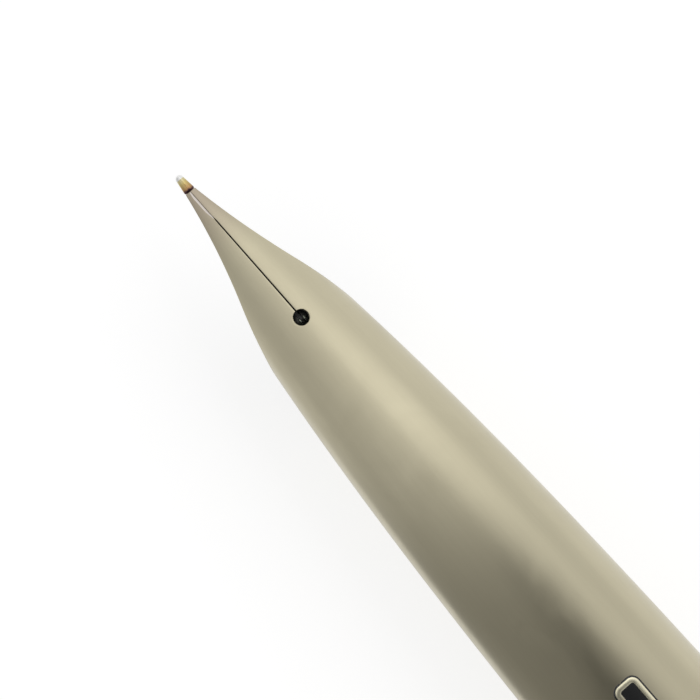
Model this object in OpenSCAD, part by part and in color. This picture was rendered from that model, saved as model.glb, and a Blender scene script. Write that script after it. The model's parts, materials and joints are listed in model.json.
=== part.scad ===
// Fountain pen with a one-piece steel nib and grip section, shown open, with its cap posted on the
// barrel's tail. The pen's axis is X, the nib points to -X and its top face looks to +Z.
// The origin lies on the axis, in the middle of the barrel's straight part.

/* [Section] */
// Length of the steel section, from the writing tip to its rear end
section_len = 46; // [44:0.5:50]
// Distance from the tip at which the nib's flanks run out into the full tube
shoulder_at = 13.2; // [12.4:0.2:14.4]
// Outside diameter of the tube at the shoulder
shoulder_d = 6.7; // [6.3:0.1:7.2]
// Wall of the drawn steel shell, nib and section alike
shell_wall = 0.35; // [0.25:0.05:0.45]
// Distance from the tip at which the underside is fully closed again
throat_at = 18; // [17:0.5:20]

/* [Nib] */
// Distance from the tip at which the flanks spread fastest
flare_at = 8.6; // [7.6:0.2:9.4]
// Width of the nib there
flare_w = 4.5; // [4:0.1:4.9]
// Width of the steel where the tipping is welded on
nose_w = 0.74; // [0.66:0.02:0.9]
// Height of the nib's top face above the pen's axis at the nose
nose_h = 1.15; // [1:0.05:1.4]
// Distance from the tip to the breather hole's centre
hole_at = 11.4; // [10.4:0.1:12]
// Diameter of the breather hole
hole_d = 1.02; // [0.8:0.02:1.3]
// Width of the ink slit at the breather hole
slit_w = 0.13; // [0.08:0.01:0.2]
// Width of the ink slit at the tip
slit_tip_w = 0.05; // [0.03:0.01:0.08]
// Length of the weld between the steel and the point
weld_len = 0.9; // [0.7:0.05:1.1]
// Diameter of the hard point
point_d = 0.6; // [0.5:0.02:0.7]

/* [Feed] */
// Distance from the tip to the feed's nose
feed_nose_at = 2.6; // [2:0.1:4]
// Diameter of the feed's core inside the section
feed_d = 5; // [4.6:0.1:5.4]
// Number of fins in the comb
fin_count = 7; // [4:1:8]
// Spacing of the fins
fin_pitch = 0.9; // [0.75:0.05:0.95]
// Thickness of a fin
fin_t = 0.4; // [0.3:0.05:0.5]
// Width of the ink channel under the slit
channel_w = 0.3; // [0.2:0.05:0.5]
// Outside diameter of the nipple that the converter goes over
nipple_d = 2.2; // [2:0.1:2.5]
// Length of the nipple
nipple_len = 6; // [5:0.5:6.5]

/* [Converter] */
// Outside diameter of the converter's clear tube
converter_d = 6.8; // [6.4:0.1:7]
// Wall of the clear tube
tube_wall = 0.6; // [0.4:0.05:0.8]
// Length of the clear tube
tube_len = 30; // [28:0.5:32]
// Wall of the metal sleeve round the tube's rear end
sleeve_wall = 0.35; // [0.25:0.05:0.45]
// Length of the sleeve
sleeve_len = 13; // [12:0.5:15]
// Diameter of the piston screw
screw_d = 2; // [1.6:0.1:2.4]
// Travel of the piston
stroke = 15; // [13:0.5:16]
// Length of the turning knob
knob_len = 10; // [9:0.5:12]
// Number of flutes in the knob
knob_flutes = 16; // [12:1:20]

/* [Barrel] */
// Outside diameter of the barrel
barrel_d = 11.2; // [11:0.1:11.8]
// Length of the barrel, from the section to its tail
barrel_len = 72; // [70:0.5:78]
// Wall of the barrel tube
barrel_wall = 0.4; // [0.3:0.05:0.5]
// Length of the straight part in front of the taper
straight_len = 28; // [24:0.5:30]
// Diameter at the tail
tail_d = 8.8; // [8.6:0.1:9.2]
// Radial step from the steel section up to the barrel
joint_step = 0.3; // [0.2:0.05:0.4]
// Length of the male thread behind the section
thread_len = 7; // [6:0.5:8]
// Length of the ring between section and barrel
ring_len = 1.2; // [0.9:0.1:1.5]

/* [Cap] */
// Length of the cap
cap_len = 64.6; // [63:0.2:68]
// How far the cap is pushed over the barrel's tail
post_depth = 34; // [32:0.5:35]
// Wall of the cap tube
cap_wall = 0.4; // [0.3:0.05:0.5]
// Radial room between the barrel and the cap tube
cap_room = 0.2; // [0.15:0.05:0.3]
// Wall of the plastic inner cap
liner_wall = 0.65; // [0.5:0.05:0.7]
// Length of the spring ring in the cap's mouth
clutch_len = 7.4; // [6:0.2:8.4]
// Number of fingers on the spring ring
clutch_fingers = 8; // [6:1:12]
// Thickness of the crown
crown_len = 2; // [1.6:0.1:2.6]

/* [Clip] */
// Length of the clip, from its root to its free end
clip_len = 38; // [34:0.5:40]
// Width of the clip at its root
clip_w = 4; // [3.4:0.1:4.6]
// Width of the clip near its free end
clip_end_w = 3; // [2.6:0.1:3.4]
// Thickness of the clip
clip_t = 0.7; // [0.6:0.05:0.9]
// Gap between the clip's blade and the cap, where the cloth goes
clip_gap = 1.9; // [1.6:0.1:2.2]
// Diameter of the pin that the clip turns on
pin_d = 1; // [0.8:0.1:1.2]

/* [Fits] */
// Gap between pieces that are pressed or glued together
seat_gap = 0.03; // [0.02:0.01:0.05]
// Gap between pieces that slide or turn on each other
run_gap = 0.05; // [0.03:0.01:0.08]

/* [Hidden] */
$fn = 64;
eps = 0.01;
big = 20;                                   // half of a cutting block, larger than the pen is thick

// Shell: radii and slopes of its outline, in distance from the writing tip
barrel_r = barrel_d / 2;
section_r = barrel_r - joint_step;
shoulder_r = shoulder_d / 2;
steel_at = point_d / 2 + weld_len;          // where the steel begins behind the weld
nose_slope = 0.24;
nose_flank_slope = 0.17;
flare_slope = 0.335;
flank_end_slope = 0.16;
shoulder_slope = 0.115;
rear_slope = 0.03;
stations = 14;

// Feed
feed_r = feed_d / 2;
nipple_r = nipple_d / 2;
fins_at = 15.2;
sleeve_front = fins_at + fin_count * fin_pitch + 0.4;
sleeve_rear = sleeve_front + 3;
liner_front = sleeve_rear + seat_gap;
feed_rear = 29.5;

// Converter
converter_r = converter_d / 2;
tube_bore_r = converter_r - tube_wall;
mouth_front = feed_rear + 0.7;
mouth_len = nipple_len + 0.3;
tube_front = mouth_front + mouth_len;
tube_rear = tube_front + tube_len;
plug_len = 3;
sleeve_lap = 3.5;
converter_sleeve_front = tube_rear - sleeve_lap;
converter_sleeve_rear = converter_sleeve_front + sleeve_len;
converter_sleeve_r = converter_r + seat_gap + sleeve_wall;
hub_r = tube_bore_r + 0.05;
knob_front = converter_sleeve_rear + run_gap * 3;
knob_rear = knob_front + knob_len;
knob_r = converter_sleeve_r - 0.1;
screw_r = screw_d / 2;
screw_rear = knob_rear - 2;
seal_len = 4;
seal_rear = tube_rear - 4.5;

// Barrel
trim_len = 1;
trim_r = section_r + 0.05;
ring_step = 0.4;                            // how far the black ring lies below the barrel
edge_cut = 0.12;                            // small bevel of a turned edge
stub_r = section_r - 0.65;                  // male thread, drawn at its crest
stub_rear = section_len + trim_len + thread_len;
liner_bore_r = converter_r + 0.25;
trim_rear = section_len + trim_len;
barrel_front = trim_rear + ring_len;
barrel_rear = section_len + barrel_len;
taper_at = barrel_front + straight_len;
origin_at = barrel_front + straight_len / 2;
plug_len_out = 5;
plug_at = barrel_rear - plug_len_out;
spigot_len = 5;
tail_round = 1.5;
bush_len = thread_len + 1.5;

// Cap, in distance from the writing tip while posted
cap_front = barrel_rear - post_depth;
cap_rear = cap_front + cap_len;
cap_bore_r = barrel_r + cap_room;
cap_r = cap_bore_r + cap_wall;
lip_bore_r = barrel_r - 0.05;               // stops on the barrel when the cap is closed
lip_len = 1.6;
cap_tube_front = cap_front + lip_len;
crown_front = cap_rear - crown_len;
spacer_len = 0.6;
cap_tube_rear = crown_front - spacer_len;
clutch_rear = cap_tube_front + clutch_len;
clutch_wall = 0.18;
bump_len = 1.6;
liner_in_front = clutch_rear + 2;
liner_in_r = cap_bore_r - seat_gap - liner_wall;
liner_floor = 1;
block_setback = 1.5;                        // how far the block's shoulder stands inside the cap tube
block_len = 9.2;
block_rear = cap_tube_rear - block_setback;
block_front = block_rear - block_len;
liner_in_rear = block_front - 0.3;
boss_r = 3.6;
crown_face = 0.75;                          // depth of the boss's end behind the crown's face

// Clip, in a frame turned about the pen's axis so that its own +Z points out through the clip
pivot_in = 5.2;                             // from the block's front face
pivot_at = block_front + pivot_in;
pivot_h = cap_bore_r - 1.5;
pin_r = pin_d / 2;
tongue_t = 1.6;
tongue_w = 2.4;
blade_h = cap_r + clip_gap;
clip_top = blade_h + clip_t;
clip_rear = pivot_at + tongue_t / 2;
clip_front = clip_rear - clip_len;
bead_r = 1;
bead_gap = 0.15;
bead_at = clip_front + 2.2;
bead_h = cap_r + bead_gap + bead_r;
// The clip is turned to where its lower corner stands on the surface that the cap's side lies on
clip_turn = atan2(clip_w / 2, clip_top) + acos(cap_r / norm([clip_w / 2, clip_top]));
spring_r = 0.62;
spring_wire_r = 0.14;
spring_turns = 4;
spring_arm = 2.5;                           // from the pin's axis down to the spring's
spring_h = pivot_h - spring_arm;
leg_h = spring_h - spring_r - spring_wire_r;
slot_front = pivot_at - tongue_t;
slot_rear = pivot_at + tongue_t;
spring_rear = pivot_at - tongue_t / 2 - 0.3;
spring_front = block_front + 1.1;

// ---- Curves ---------------------------------------------------------------------------------------

// Smooth step from a to b over a length, leaving at slope_a and arriving at slope_b
function eased(a, b, slope_a, slope_b, length, u) =
    (2 * u ^ 3 - 3 * u ^ 2 + 1) * a + (u ^ 3 - 2 * u ^ 2 + u) * length * slope_a
    + (3 * u ^ 2 - 2 * u ^ 3) * b + (u ^ 3 - u ^ 2) * length * slope_b;

// Outside radius of the shell; ahead of the shoulder it is the radius of the nib's arched top
function shell_r(s) =
    s < shoulder_at
        ? eased(nose_h, shoulder_r, nose_slope, shoulder_slope, shoulder_at - steel_at,
            (s - steel_at) / (shoulder_at - steel_at))
        : eased(shoulder_r, section_r, shoulder_slope, rear_slope, section_len - shoulder_at,
            (s - shoulder_at) / (section_len - shoulder_at));

function shell_in_r(s) = shell_r(s) - shell_wall;

// Half of the nib's width, as seen from above
function flank(s) =
    s < flare_at
        ? eased(nose_w / 2, flare_w / 2, nose_flank_slope, flare_slope, flare_at - steel_at,
            (s - steel_at) / (flare_at - steel_at))
        : eased(flare_w / 2, shoulder_r + 0.03, flare_slope, flank_end_slope, shoulder_at - flare_at,
            (s - flare_at) / (shoulder_at - flare_at));

// Height at which the nib's flank meets its outside
function flank_h(s) = sqrt(max(shell_r(s) ^ 2 - flank(s) ^ 2, 0));

// Lower edge of the shell as seen from the side: follows the flanks, then sweeps down round the throat
edge_from = flare_at + (shoulder_at - flare_at) * 0.65;
edge_slope = -0.37;
throat_slope = -0.35;
function lower_edge(s) =
    s < edge_from
        ? flank_h(s) - shell_wall * 0.8
        : eased(flank_h(edge_from) - shell_wall * 0.8, -shell_r(throat_at) - 0.3, edge_slope, throat_slope,
            throat_at - edge_from, (s - edge_from) / (throat_at - edge_from));

// Underside of the feed as seen from the side
feed_keel_at = 17.5;
function feed_keel(s) =
    eased(shell_in_r(feed_nose_at) - 0.4, -feed_r, -0.16, -0.12, feed_keel_at - feed_nose_at,
        (s - feed_nose_at) / (feed_keel_at - feed_nose_at));

function barrel_out_r(s) =
    s < taper_at ? barrel_r : barrel_r - (barrel_r - tail_d / 2) * (s - taper_at) / (plug_at - taper_at);

// n + 1 even steps from a to b
function steps(a, b, n) = [for (i = [0:n]) a + (b - a) * i / n];

// ---- Helpers --------------------------------------------------------------------------------------

// A profile of [radius, distance from the tip], turned about the pen's axis
module lathe(profile) rotate([0, 90, 0]) rotate_extrude() polygon(profile);

// A plain ring between two distances from the tip
module ring(outer_r, inner_r, front, rear)
    lathe([[inner_r, front], [outer_r, front], [outer_r, rear], [inner_r, rear]]);

// A solid rod on the pen's axis
module rod(r, front, rear) translate([front, 0, 0]) rotate([0, 90, 0]) cylinder(r = r, h = rear - front);

// An outline in distance and height, as thick as asked across the pen
module side_cut(outline, width) rotate([90, 0, 0]) linear_extrude(width, center = true) polygon(outline);

// Puts the origin in the middle of the barrel's straight part
module in_frame() translate([-origin_at, 0, 0]) children();

// Turns a piece from the clip's own frame to where the clip stands
module at_clip() rotate([180 - clip_turn, 0, 0]) children();

// ---- Steel shell ----------------------------------------------------------------------------------

// The space over the nib's outline, wide open behind the shoulder
module nib_outline(share = 1, front = steel_at) {
    nib_part = concat(steps(front, flare_at, stations), [for (s = steps(flare_at, shoulder_at, 8)) if (s > flare_at) s]);
    side = [for (s = nib_part) [s, flank(s) * share]];
    tail = [[shoulder_at, big], [section_len + 1, big]];
    outline = concat(side, share == 1 ? tail : [[section_len, flank(shoulder_at) * share]]);
    mirrored = [for (i = [len(outline) - 1:-1:0]) [outline[i][0], -outline[i][1]]];
    translate([0, 0, -big]) linear_extrude(2 * big) polygon(concat(outline, mirrored));
}

module under_nib() {
    along = concat(steps(steel_at, edge_from, 10), [for (s = steps(edge_from, throat_at, 16)) if (s > edge_from) s]);
    edge = [for (s = along) [s, lower_edge(s)]];
    side_cut(concat([[-1, edge[0][1]]], edge, [[throat_at, -big], [-1, -big]]), 2 * big);
}

// The tapering slit, open at the tip
module ink_slit() {
    translate([0, 0, -1])
        linear_extrude(big)
            polygon([[-1, -slit_tip_w / 2], [hole_at, -slit_w / 2], [hole_at, slit_w / 2], [-1, slit_tip_w / 2]]);
}

module nib_section() {
    nib_steps = steps(steel_at, shoulder_at, stations);
    tube_steps = [for (s = steps(shoulder_at, section_len, stations)) if (s > shoulder_at) s];
    along = concat(nib_steps, tube_steps);
    outside = [for (s = along) [shell_r(s), s]];
    inside = [for (i = [len(along) - 1:-1:0]) [shell_in_r(along[i]), along[i]]];
    color("tan")
        in_frame()
            difference() {
                intersection() {
                    lathe(concat(outside, inside));
                    nib_outline();
                }
                under_nib();
                ink_slit();
                translate([hole_at, 0, 0]) cylinder(d = hole_d, h = big);
            }
}

// Weld bead that carries the point, split by the slit
module tip_weld() {
    top = nose_h;
    front_h = point_d * 0.85;
    rear_h = shell_wall + 0.12;
    color("goldenrod")
        in_frame()
            difference() {
                intersection() {
                    side_cut([
                        [point_d / 2, top - 0.2 - front_h / 2], [point_d / 2, top - 0.2 + front_h / 2 - 0.05],
                        [steel_at, top], [steel_at, top - rear_h]
                    ], 4);
                    translate([0, 0, -1])
                        linear_extrude(4)
                            polygon([
                                [point_d / 2, -point_d * 0.45], [steel_at, -nose_w / 2],
                                [steel_at, nose_w / 2], [point_d / 2, point_d * 0.45]
                            ]);
                }
                ink_slit();
            }
}

// Ball of hard alloy, split by the slit and cut flat where it meets the weld
module tip_point() {
    color("gainsboro")
        in_frame()
            difference() {
                translate([point_d / 2, 0, nose_h - 0.2]) sphere(d = point_d);
                translate([point_d / 2, -1, -1]) cube([2, 2, 4]);
                ink_slit();
            }
}

// ---- Feed and inner section -----------------------------------------------------------------------

// Tongue that lies against the underside of the nib
module feed_tongue() {
    along = steps(feed_nose_at, feed_keel_at, 12);
    fit = [for (s = along) [shell_in_r(s) - seat_gap * 2, s]];
    keel = [for (i = [len(along) - 1:-1:0]) [along[i], feed_keel(along[i])]];
    intersection() {
        lathe(concat([[0, feed_nose_at]], fit, [[0, feed_keel_at]]));
        nib_outline(0.66, feed_nose_at);
        side_cut(concat([[feed_nose_at, big], [feed_keel_at, big]], keel), 2 * big);
    }
}

module feed() {
    color([0.08, 0.08, 0.08])
        in_frame()
            difference() {
                union() {
                    feed_tongue();
                    rod(feed_r, fins_at, feed_rear);
                    for (i = [0:fin_count - 1]) {
                        front = fins_at + i * fin_pitch;
                        rod(shell_in_r(front) - run_gap * 2, front, front + fin_t);
                    }
                    rod(nipple_r, feed_rear - eps, feed_rear + nipple_len);
                }
                // ink channel under the slit
                translate([feed_nose_at - 1, -channel_w / 2, feed_r * 0.3]) cube([feed_rear - feed_nose_at, channel_w, big]);
                // overflow slot in the belly of the comb
                translate([fins_at - eps, -channel_w, -big]) cube([fin_count * fin_pitch, channel_w * 2, big - feed_r * 0.6]);
                // ink way through the nipple
                rod(nipple_r * 0.5, feed_rear - 4, feed_rear + nipple_len + 1);
            }
}

// Bush that centres the feed behind its comb
module feed_sleeve() {
    along = steps(sleeve_front, sleeve_rear, 2);
    color([0.15, 0.15, 0.15])
        in_frame()
            lathe(concat(
                [[feed_r + seat_gap, sleeve_front]],
                [for (s = along) [shell_in_r(s) - seat_gap, s]],
                [[feed_r + seat_gap, sleeve_rear]]
            ));
}

// Plastic core that fills the section, holds the feed and ends in the thread for the barrel
module section_liner() {
    along = steps(liner_front, section_len, 8);
    outside = [for (s = along) [shell_in_r(s) - seat_gap, s]];
    groove = section_len + 3;
    color([0.12, 0.12, 0.12])
        in_frame()
            lathe(concat(
                [[feed_r + seat_gap, liner_front]], outside,
                [
                    [stub_r, section_len], [stub_r, groove], [stub_r - 0.65, groove], [stub_r - 0.65, groove + 0.8],
                    [stub_r, groove + 0.8], [stub_r, stub_rear - 0.3], [stub_r - 0.3, stub_rear],
                    [liner_bore_r, stub_rear], [liner_bore_r, feed_rear + 0.1], [feed_r + seat_gap, feed_rear + 0.1]
                ]
            ));
}

// Rubber ring in the thread's groove
module section_seal() {
    cord_r = 0.3;
    color("black")
        in_frame()
            translate([section_len + 3.4, 0, 0])
                rotate([0, 90, 0])
                    rotate_extrude() translate([stub_r - 0.35 + run_gap / 4, 0]) circle(r = cord_r - run_gap / 2, $fn = 24);
}

// Polished ring that closes the steel section
module section_ring() {
    color("silver")
        in_frame()
            lathe([
                [stub_r + seat_gap, section_len + eps], [trim_r - edge_cut, section_len + eps],
                [trim_r, section_len + edge_cut], [trim_r, trim_rear - edge_cut],
                [trim_r - edge_cut, trim_rear], [stub_r + seat_gap, trim_rear]
            ]);
}

// ---- Converter ------------------------------------------------------------------------------------

module converter_mouth() {
    way_r = nipple_r * 0.6;
    color("silver")
        in_frame()
            lathe([
                [nipple_r + seat_gap, mouth_front], [converter_r - 0.2, mouth_front], [converter_r, mouth_front + 0.2],
                [converter_r, tube_front], [tube_bore_r - seat_gap, tube_front],
                [tube_bore_r - seat_gap, tube_front + plug_len], [way_r, tube_front + plug_len],
                [way_r, tube_front - 0.2], [nipple_r + seat_gap, tube_front - 0.2]
            ]);
}

module converter_tube() {
    color([0.8, 0.9, 0.95, 0.5]) in_frame() ring(converter_r, tube_bore_r, tube_front + eps, tube_rear);
}

module converter_sleeve() {
    color("silver")
        in_frame()
            lathe([
                [converter_r + seat_gap, converter_sleeve_front], [converter_sleeve_r - 0.15, converter_sleeve_front],
                [converter_sleeve_r, converter_sleeve_front + 0.3], [converter_sleeve_r, converter_sleeve_rear],
                [hub_r + run_gap, converter_sleeve_rear], [hub_r + run_gap, tube_rear + eps],
                [converter_r + seat_gap, tube_rear + eps]
            ]);
}

module converter_knob() {
    flute_r = 0.35;
    color([0.1, 0.1, 0.1])
        in_frame()
            difference() {
                lathe([
                    [0, knob_front], [knob_r - 0.3, knob_front], [knob_r, knob_front + 0.4], [knob_r, knob_rear - 1],
                    [knob_r - 0.25, knob_rear - 0.4], [knob_r - 0.8, knob_rear], [0, knob_rear]
                ]);
                rod(screw_r + run_gap * 2, knob_front - 1, screw_rear + 0.5);
                for (i = [0:knob_flutes - 1])
                    rotate([i * 360 / knob_flutes, 0, 0])
                        translate([knob_front + 1.2, 0, knob_r + flute_r * 0.3])
                            rotate([0, 90, 0]) cylinder(r = flute_r, h = knob_len - 2.6, $fn = 16);
            }
}

// Threaded nut that turns with the knob inside the sleeve
module drive_nut() {
    color("goldenrod") in_frame() ring(hub_r, screw_r + run_gap, tube_rear + 0.3, knob_front - eps);
}

module piston_screw() {
    color("silver") in_frame() rod(screw_r, seal_rear - seal_len / 2, screw_rear);
}

// Rubber piston with a lip at each end
module piston_seal() {
    front = seal_rear - seal_len;
    lip_r = tube_bore_r - run_gap;
    waist_r = lip_r - 0.35;
    socket_r = screw_r + seat_gap;
    color([0.15, 0.15, 0.15])
        in_frame()
            lathe([
                [0, front], [lip_r - 0.5, front], [lip_r, front + 0.5], [lip_r, front + 1.1], [waist_r, front + 1.5],
                [waist_r, seal_rear - 1.5], [lip_r, seal_rear - 1.1], [lip_r, seal_rear - 0.3], [lip_r - 0.3, seal_rear],
                [socket_r, seal_rear], [socket_r, seal_rear - seal_len / 2 - seat_gap],
                [0, seal_rear - seal_len / 2 - seat_gap]
            ]);
}

// ---- Barrel ---------------------------------------------------------------------------------------

// Black ring glued to the barrel's mouth
module barrel_ring() {
    front = trim_rear + run_gap;
    rear = barrel_front - eps;
    outer_r = barrel_r - ring_step;
    color([0.1, 0.1, 0.1])
        in_frame()
            lathe([
                [stub_r + run_gap, front], [outer_r - edge_cut, front], [outer_r, front + edge_cut],
                [outer_r, rear - edge_cut], [outer_r - edge_cut, rear], [stub_r + run_gap, rear]
            ]);
}

module barrel_tube() {
    color("tan")
        in_frame()
            lathe([
                [barrel_r - barrel_wall, barrel_front], [barrel_r - edge_cut, barrel_front],
                [barrel_r, barrel_front + edge_cut],
                [barrel_r, taper_at], [barrel_out_r(plug_at), plug_at],
                [barrel_out_r(plug_at) - barrel_wall, plug_at], [barrel_r - barrel_wall, taper_at]
            ]);
}

// Bush with the female thread, drawn at its crest
module barrel_bush() {
    front = barrel_front;
    rear = front + bush_len;
    color("goldenrod") in_frame() ring(barrel_r - barrel_wall - seat_gap, stub_r + run_gap, front, rear);
}

module tail_plug() {
    head_r = barrel_out_r(plug_at);
    front = plug_at - spigot_len;
    spigot_r = head_r - barrel_wall - seat_gap;
    round_r = head_r - tail_round;
    round_at = barrel_rear - tail_round;
    dome = [for (a = steps(0, 90, 8)) [round_r + tail_round * cos(a), round_at + tail_round * sin(a)]];
    color("silver")
        in_frame()
            lathe(concat(
                [[0, front], [spigot_r - edge_cut * 2, front], [spigot_r, front + edge_cut * 4],
                    [spigot_r, plug_at + eps], [head_r - edge_cut, plug_at + eps], [head_r, plug_at + edge_cut]],
                dome, [[0, barrel_rear]]
            ));
}

// ---- Cap ------------------------------------------------------------------------------------------

module cap_tube() {
    window_w = tongue_w + 0.4;
    color("tan")
        in_frame()
            difference() {
                ring(cap_r, cap_bore_r, cap_tube_front, cap_tube_rear);
                at_clip()
                    translate([slot_front - 0.1, -window_w / 2, 0])
                        cube([slot_rear - slot_front + 0.2, window_w, big]);
            }
}

// Rolled lip of the cap's mouth
module cap_lip() {
    roll_r = 0.4;
    roll = [for (a = steps(180, 90, 6)) [cap_r - roll_r + roll_r * sin(a), cap_front + roll_r + roll_r * cos(a)]];
    color("silver")
        in_frame()
            lathe(concat(
                [[lip_bore_r, cap_front]], roll,
                [[cap_r, cap_tube_front - edge_cut], [cap_r - edge_cut, cap_tube_front - eps],
                    [lip_bore_r, cap_tube_front - eps]]
            ));
}

// Thin spring ring seated in the cap's mouth; a bump on each finger bears on the barrel
module cap_clutch() {
    front = cap_tube_front + seat_gap * 2;
    seat_r = cap_bore_r - seat_gap;
    inner_r = seat_r - clutch_wall;
    bump_rear = clutch_rear - bump_len / 2;
    bump_front = bump_rear - bump_len;
    grip_r = barrel_out_r(bump_front) + run_gap;
    slot_w = 0.5;
    color("silver")
        in_frame()
            difference() {
                lathe([
                    [inner_r, front], [seat_r, front], [seat_r, clutch_rear], [inner_r, clutch_rear],
                    [inner_r, bump_rear], [grip_r, bump_rear - bump_len / 4], [grip_r, bump_front + bump_len / 4],
                    [inner_r, bump_front]
                ]);
                for (i = [0:clutch_fingers - 1])
                    rotate([i * 360 / clutch_fingers, 0, 0])
                        translate([front + clutch_len * 0.25, -slot_w / 2, 0]) cube([clutch_len, slot_w, big]);
            }
}

// Plastic inner cap that keeps the nib moist
module cap_liner() {
    color([0.15, 0.15, 0.15])
        in_frame()
            lathe([
                [liner_in_r + 0.3, liner_in_front], [cap_bore_r - seat_gap, liner_in_front],
                [cap_bore_r - seat_gap, liner_in_rear], [0, liner_in_rear], [0, liner_in_rear - liner_floor],
                [liner_in_r - liner_floor, liner_in_rear - liner_floor], [liner_in_r, liner_in_rear - 2 * liner_floor],
                [liner_in_r, liner_in_front + liner_floor]
            ]);
}

// Turned block that fills the cap's end, carries the clip's pin and takes the crown's thread
module crown_block() {
    slot_w = tongue_w + run_gap * 4;
    color("silver")
        in_frame()
            difference() {
                lathe([
                    [0, block_front], [cap_bore_r - seat_gap, block_front], [cap_bore_r - seat_gap, block_rear],
                    [boss_r, block_rear], [boss_r, cap_rear - crown_face - seat_gap], [0, cap_rear - crown_face - seat_gap]
                ]);
                at_clip() {
                    translate([slot_front, -slot_w / 2, leg_h - 0.6]) cube([slot_rear - slot_front, slot_w, big]);
                    translate([spring_front, 0, spring_h])
                        rotate([0, 90, 0]) cylinder(r = spring_r + spring_wire_r + 0.1, h = slot_front - spring_front + 0.5);
                    translate([pivot_at, 0, pivot_h]) rotate([90, 0, 0]) cylinder(r = pin_r + seat_gap / 2, h = big, center = true);
                }
            }
}

// Black spacer between the cap tube and the crown
module crown_ring() {
    color([0.1, 0.1, 0.1]) in_frame() ring(cap_r - 0.15, boss_r + seat_gap, cap_tube_rear + eps, crown_front - eps);
}

module crown_cap() {
    bevel = 0.7;
    dish_r = cap_r - 2.2;
    color("silver")
        in_frame()
            lathe([
                [boss_r + seat_gap, crown_front], [cap_r - 0.1, crown_front], [cap_r, crown_front + 0.15],
                [cap_r, cap_rear - bevel], [cap_r - bevel * 0.35, cap_rear - bevel * 0.3], [cap_r - bevel, cap_rear],
                [dish_r, cap_rear], [dish_r - 0.3, cap_rear - 0.25], [0, cap_rear - 0.25],
                [0, cap_rear - crown_face], [boss_r + seat_gap, cap_rear - crown_face]
            ]);
}

// ---- Clip, in its own frame -----------------------------------------------------------------------

// Side view of the blade: it leaves the tongue in a round bend and dips to the bead at its free end
module clip_side() {
    dip_from = bead_at + 9;
    dip = blade_h - bead_h - bead_r * 0.35;
    under = [for (x = steps(dip_from, bead_at, 8))
        [x, blade_h - eased(0, dip, 0, 0, dip_from - bead_at, (dip_from - x) / (dip_from - bead_at))]];
    kick = [[clip_front + 0.5, blade_h - dip + 0.25], [clip_front, blade_h - dip + 0.6]];
    lower = concat([[pivot_at - tongue_t / 2, blade_h - 0.6], [pivot_at - tongue_t / 2 - 0.6, blade_h]], under, kick);
    upper = [for (i = [len(lower) - 1:-1:1]) lower[i] + [0, clip_t]];
    bend = [for (a = steps(90, 0, 6)) [clip_rear - 1.2 + 1.2 * cos(a), clip_top - 1.2 + 1.2 * sin(a)]];
    foot = [[clip_rear, leg_h + 0.3], [clip_rear - 0.3, leg_h], [pivot_at - tongue_t / 2, leg_h]];
    side_cut(concat(lower, upper, bend, foot), 2 * big);
}

// Front view: a narrow tongue through the cap's wall, and the blade above it
module clip_front_view() {
    half = tongue_w / 2;
    in_r = cap_r + 0.6;
    rotate([90, 0, 90])
        linear_extrude(2 * big + cap_rear)
            polygon([
                [-half, 0], [half, 0], [half, in_r], [clip_w / 2, in_r], [clip_w / 2, clip_top - 0.2],
                [clip_w / 2 - 0.2, clip_top + eps], [-clip_w / 2 + 0.2, clip_top + eps], [-clip_w / 2, clip_top - 0.2],
                [-clip_w / 2, in_r], [-half, in_r]
            ]);
}

// Top view: tapers to a round free end
module clip_top_view() {
    end_r = clip_end_w / 2;
    nose = [for (a = steps(90, 270, 12)) [clip_front + end_r + end_r * cos(a), end_r * sin(a)]];
    linear_extrude(big) polygon(concat([[clip_rear, -clip_w / 2], [clip_rear, clip_w / 2]], nose));
}

module clip() {
    color("silver")
        in_frame()
            at_clip()
                difference() {
                    intersection() {
                        clip_side();
                        clip_front_view();
                        clip_top_view();
                    }
                    translate([pivot_at, 0, pivot_h])
                        rotate([90, 0, 0]) cylinder(r = pin_r + run_gap, h = big, center = true);
                    translate([bead_at, 0, 0]) cylinder(r = 0.45 + seat_gap, h = big);
                }
}

// Round bead riveted through the clip's free end
module clip_bead() {
    rivet_r = 0.45;
    dip = blade_h - bead_h - bead_r * 0.35;
    seat = blade_h - dip;
    color("silver")
        in_frame()
            at_clip()
                translate([bead_at, 0, 0]) {
                    difference() {
                        translate([0, 0, bead_h]) sphere(r = bead_r);
                        translate([-big, -big, seat - seat_gap]) cube(2 * big);
                    }
                    translate([0, 0, bead_h]) cylinder(r = rivet_r, h = seat + clip_t - bead_h - 0.05);
                }
}

module clip_pin() {
    half = sqrt((cap_bore_r - seat_gap) ^ 2 - (pivot_h + pin_r) ^ 2) - 0.15;
    color("silver")
        in_frame()
            at_clip()
                translate([pivot_at, 0, pivot_h]) rotate([90, 0, 0]) cylinder(r = pin_r, h = 2 * half, center = true);
}

// Coil spring that presses on the foot of the clip's tongue
module clip_spring() {
    sides = 6;
    per_turn = 14;
    rings = spring_turns * per_turn;
    length = spring_rear - spring_front - 2 * spring_wire_r;
    function on_coil(i, j) =
        let (turn = 360 * i / per_turn, around = 360 * j / sides, r = spring_r + spring_wire_r * cos(around))
        [spring_front + spring_wire_r + length * i / rings + spring_wire_r * sin(around),
            r * cos(turn), spring_h + r * sin(turn)];
    points = [for (i = [0:rings], j = [0:sides - 1]) on_coil(i, j)];
    walls = [for (i = [0:rings - 1], j = [0:sides - 1])
        [i * sides + j, i * sides + (j + 1) % sides, (i + 1) * sides + (j + 1) % sides, (i + 1) * sides + j]];
    front_end = [for (j = [sides - 1:-1:0]) j];
    rear_end = [for (j = [0:sides - 1]) rings * sides + j];
    color("silver") in_frame() at_clip() polyhedron(points, concat(walls, [front_end, rear_end]));
}

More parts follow.
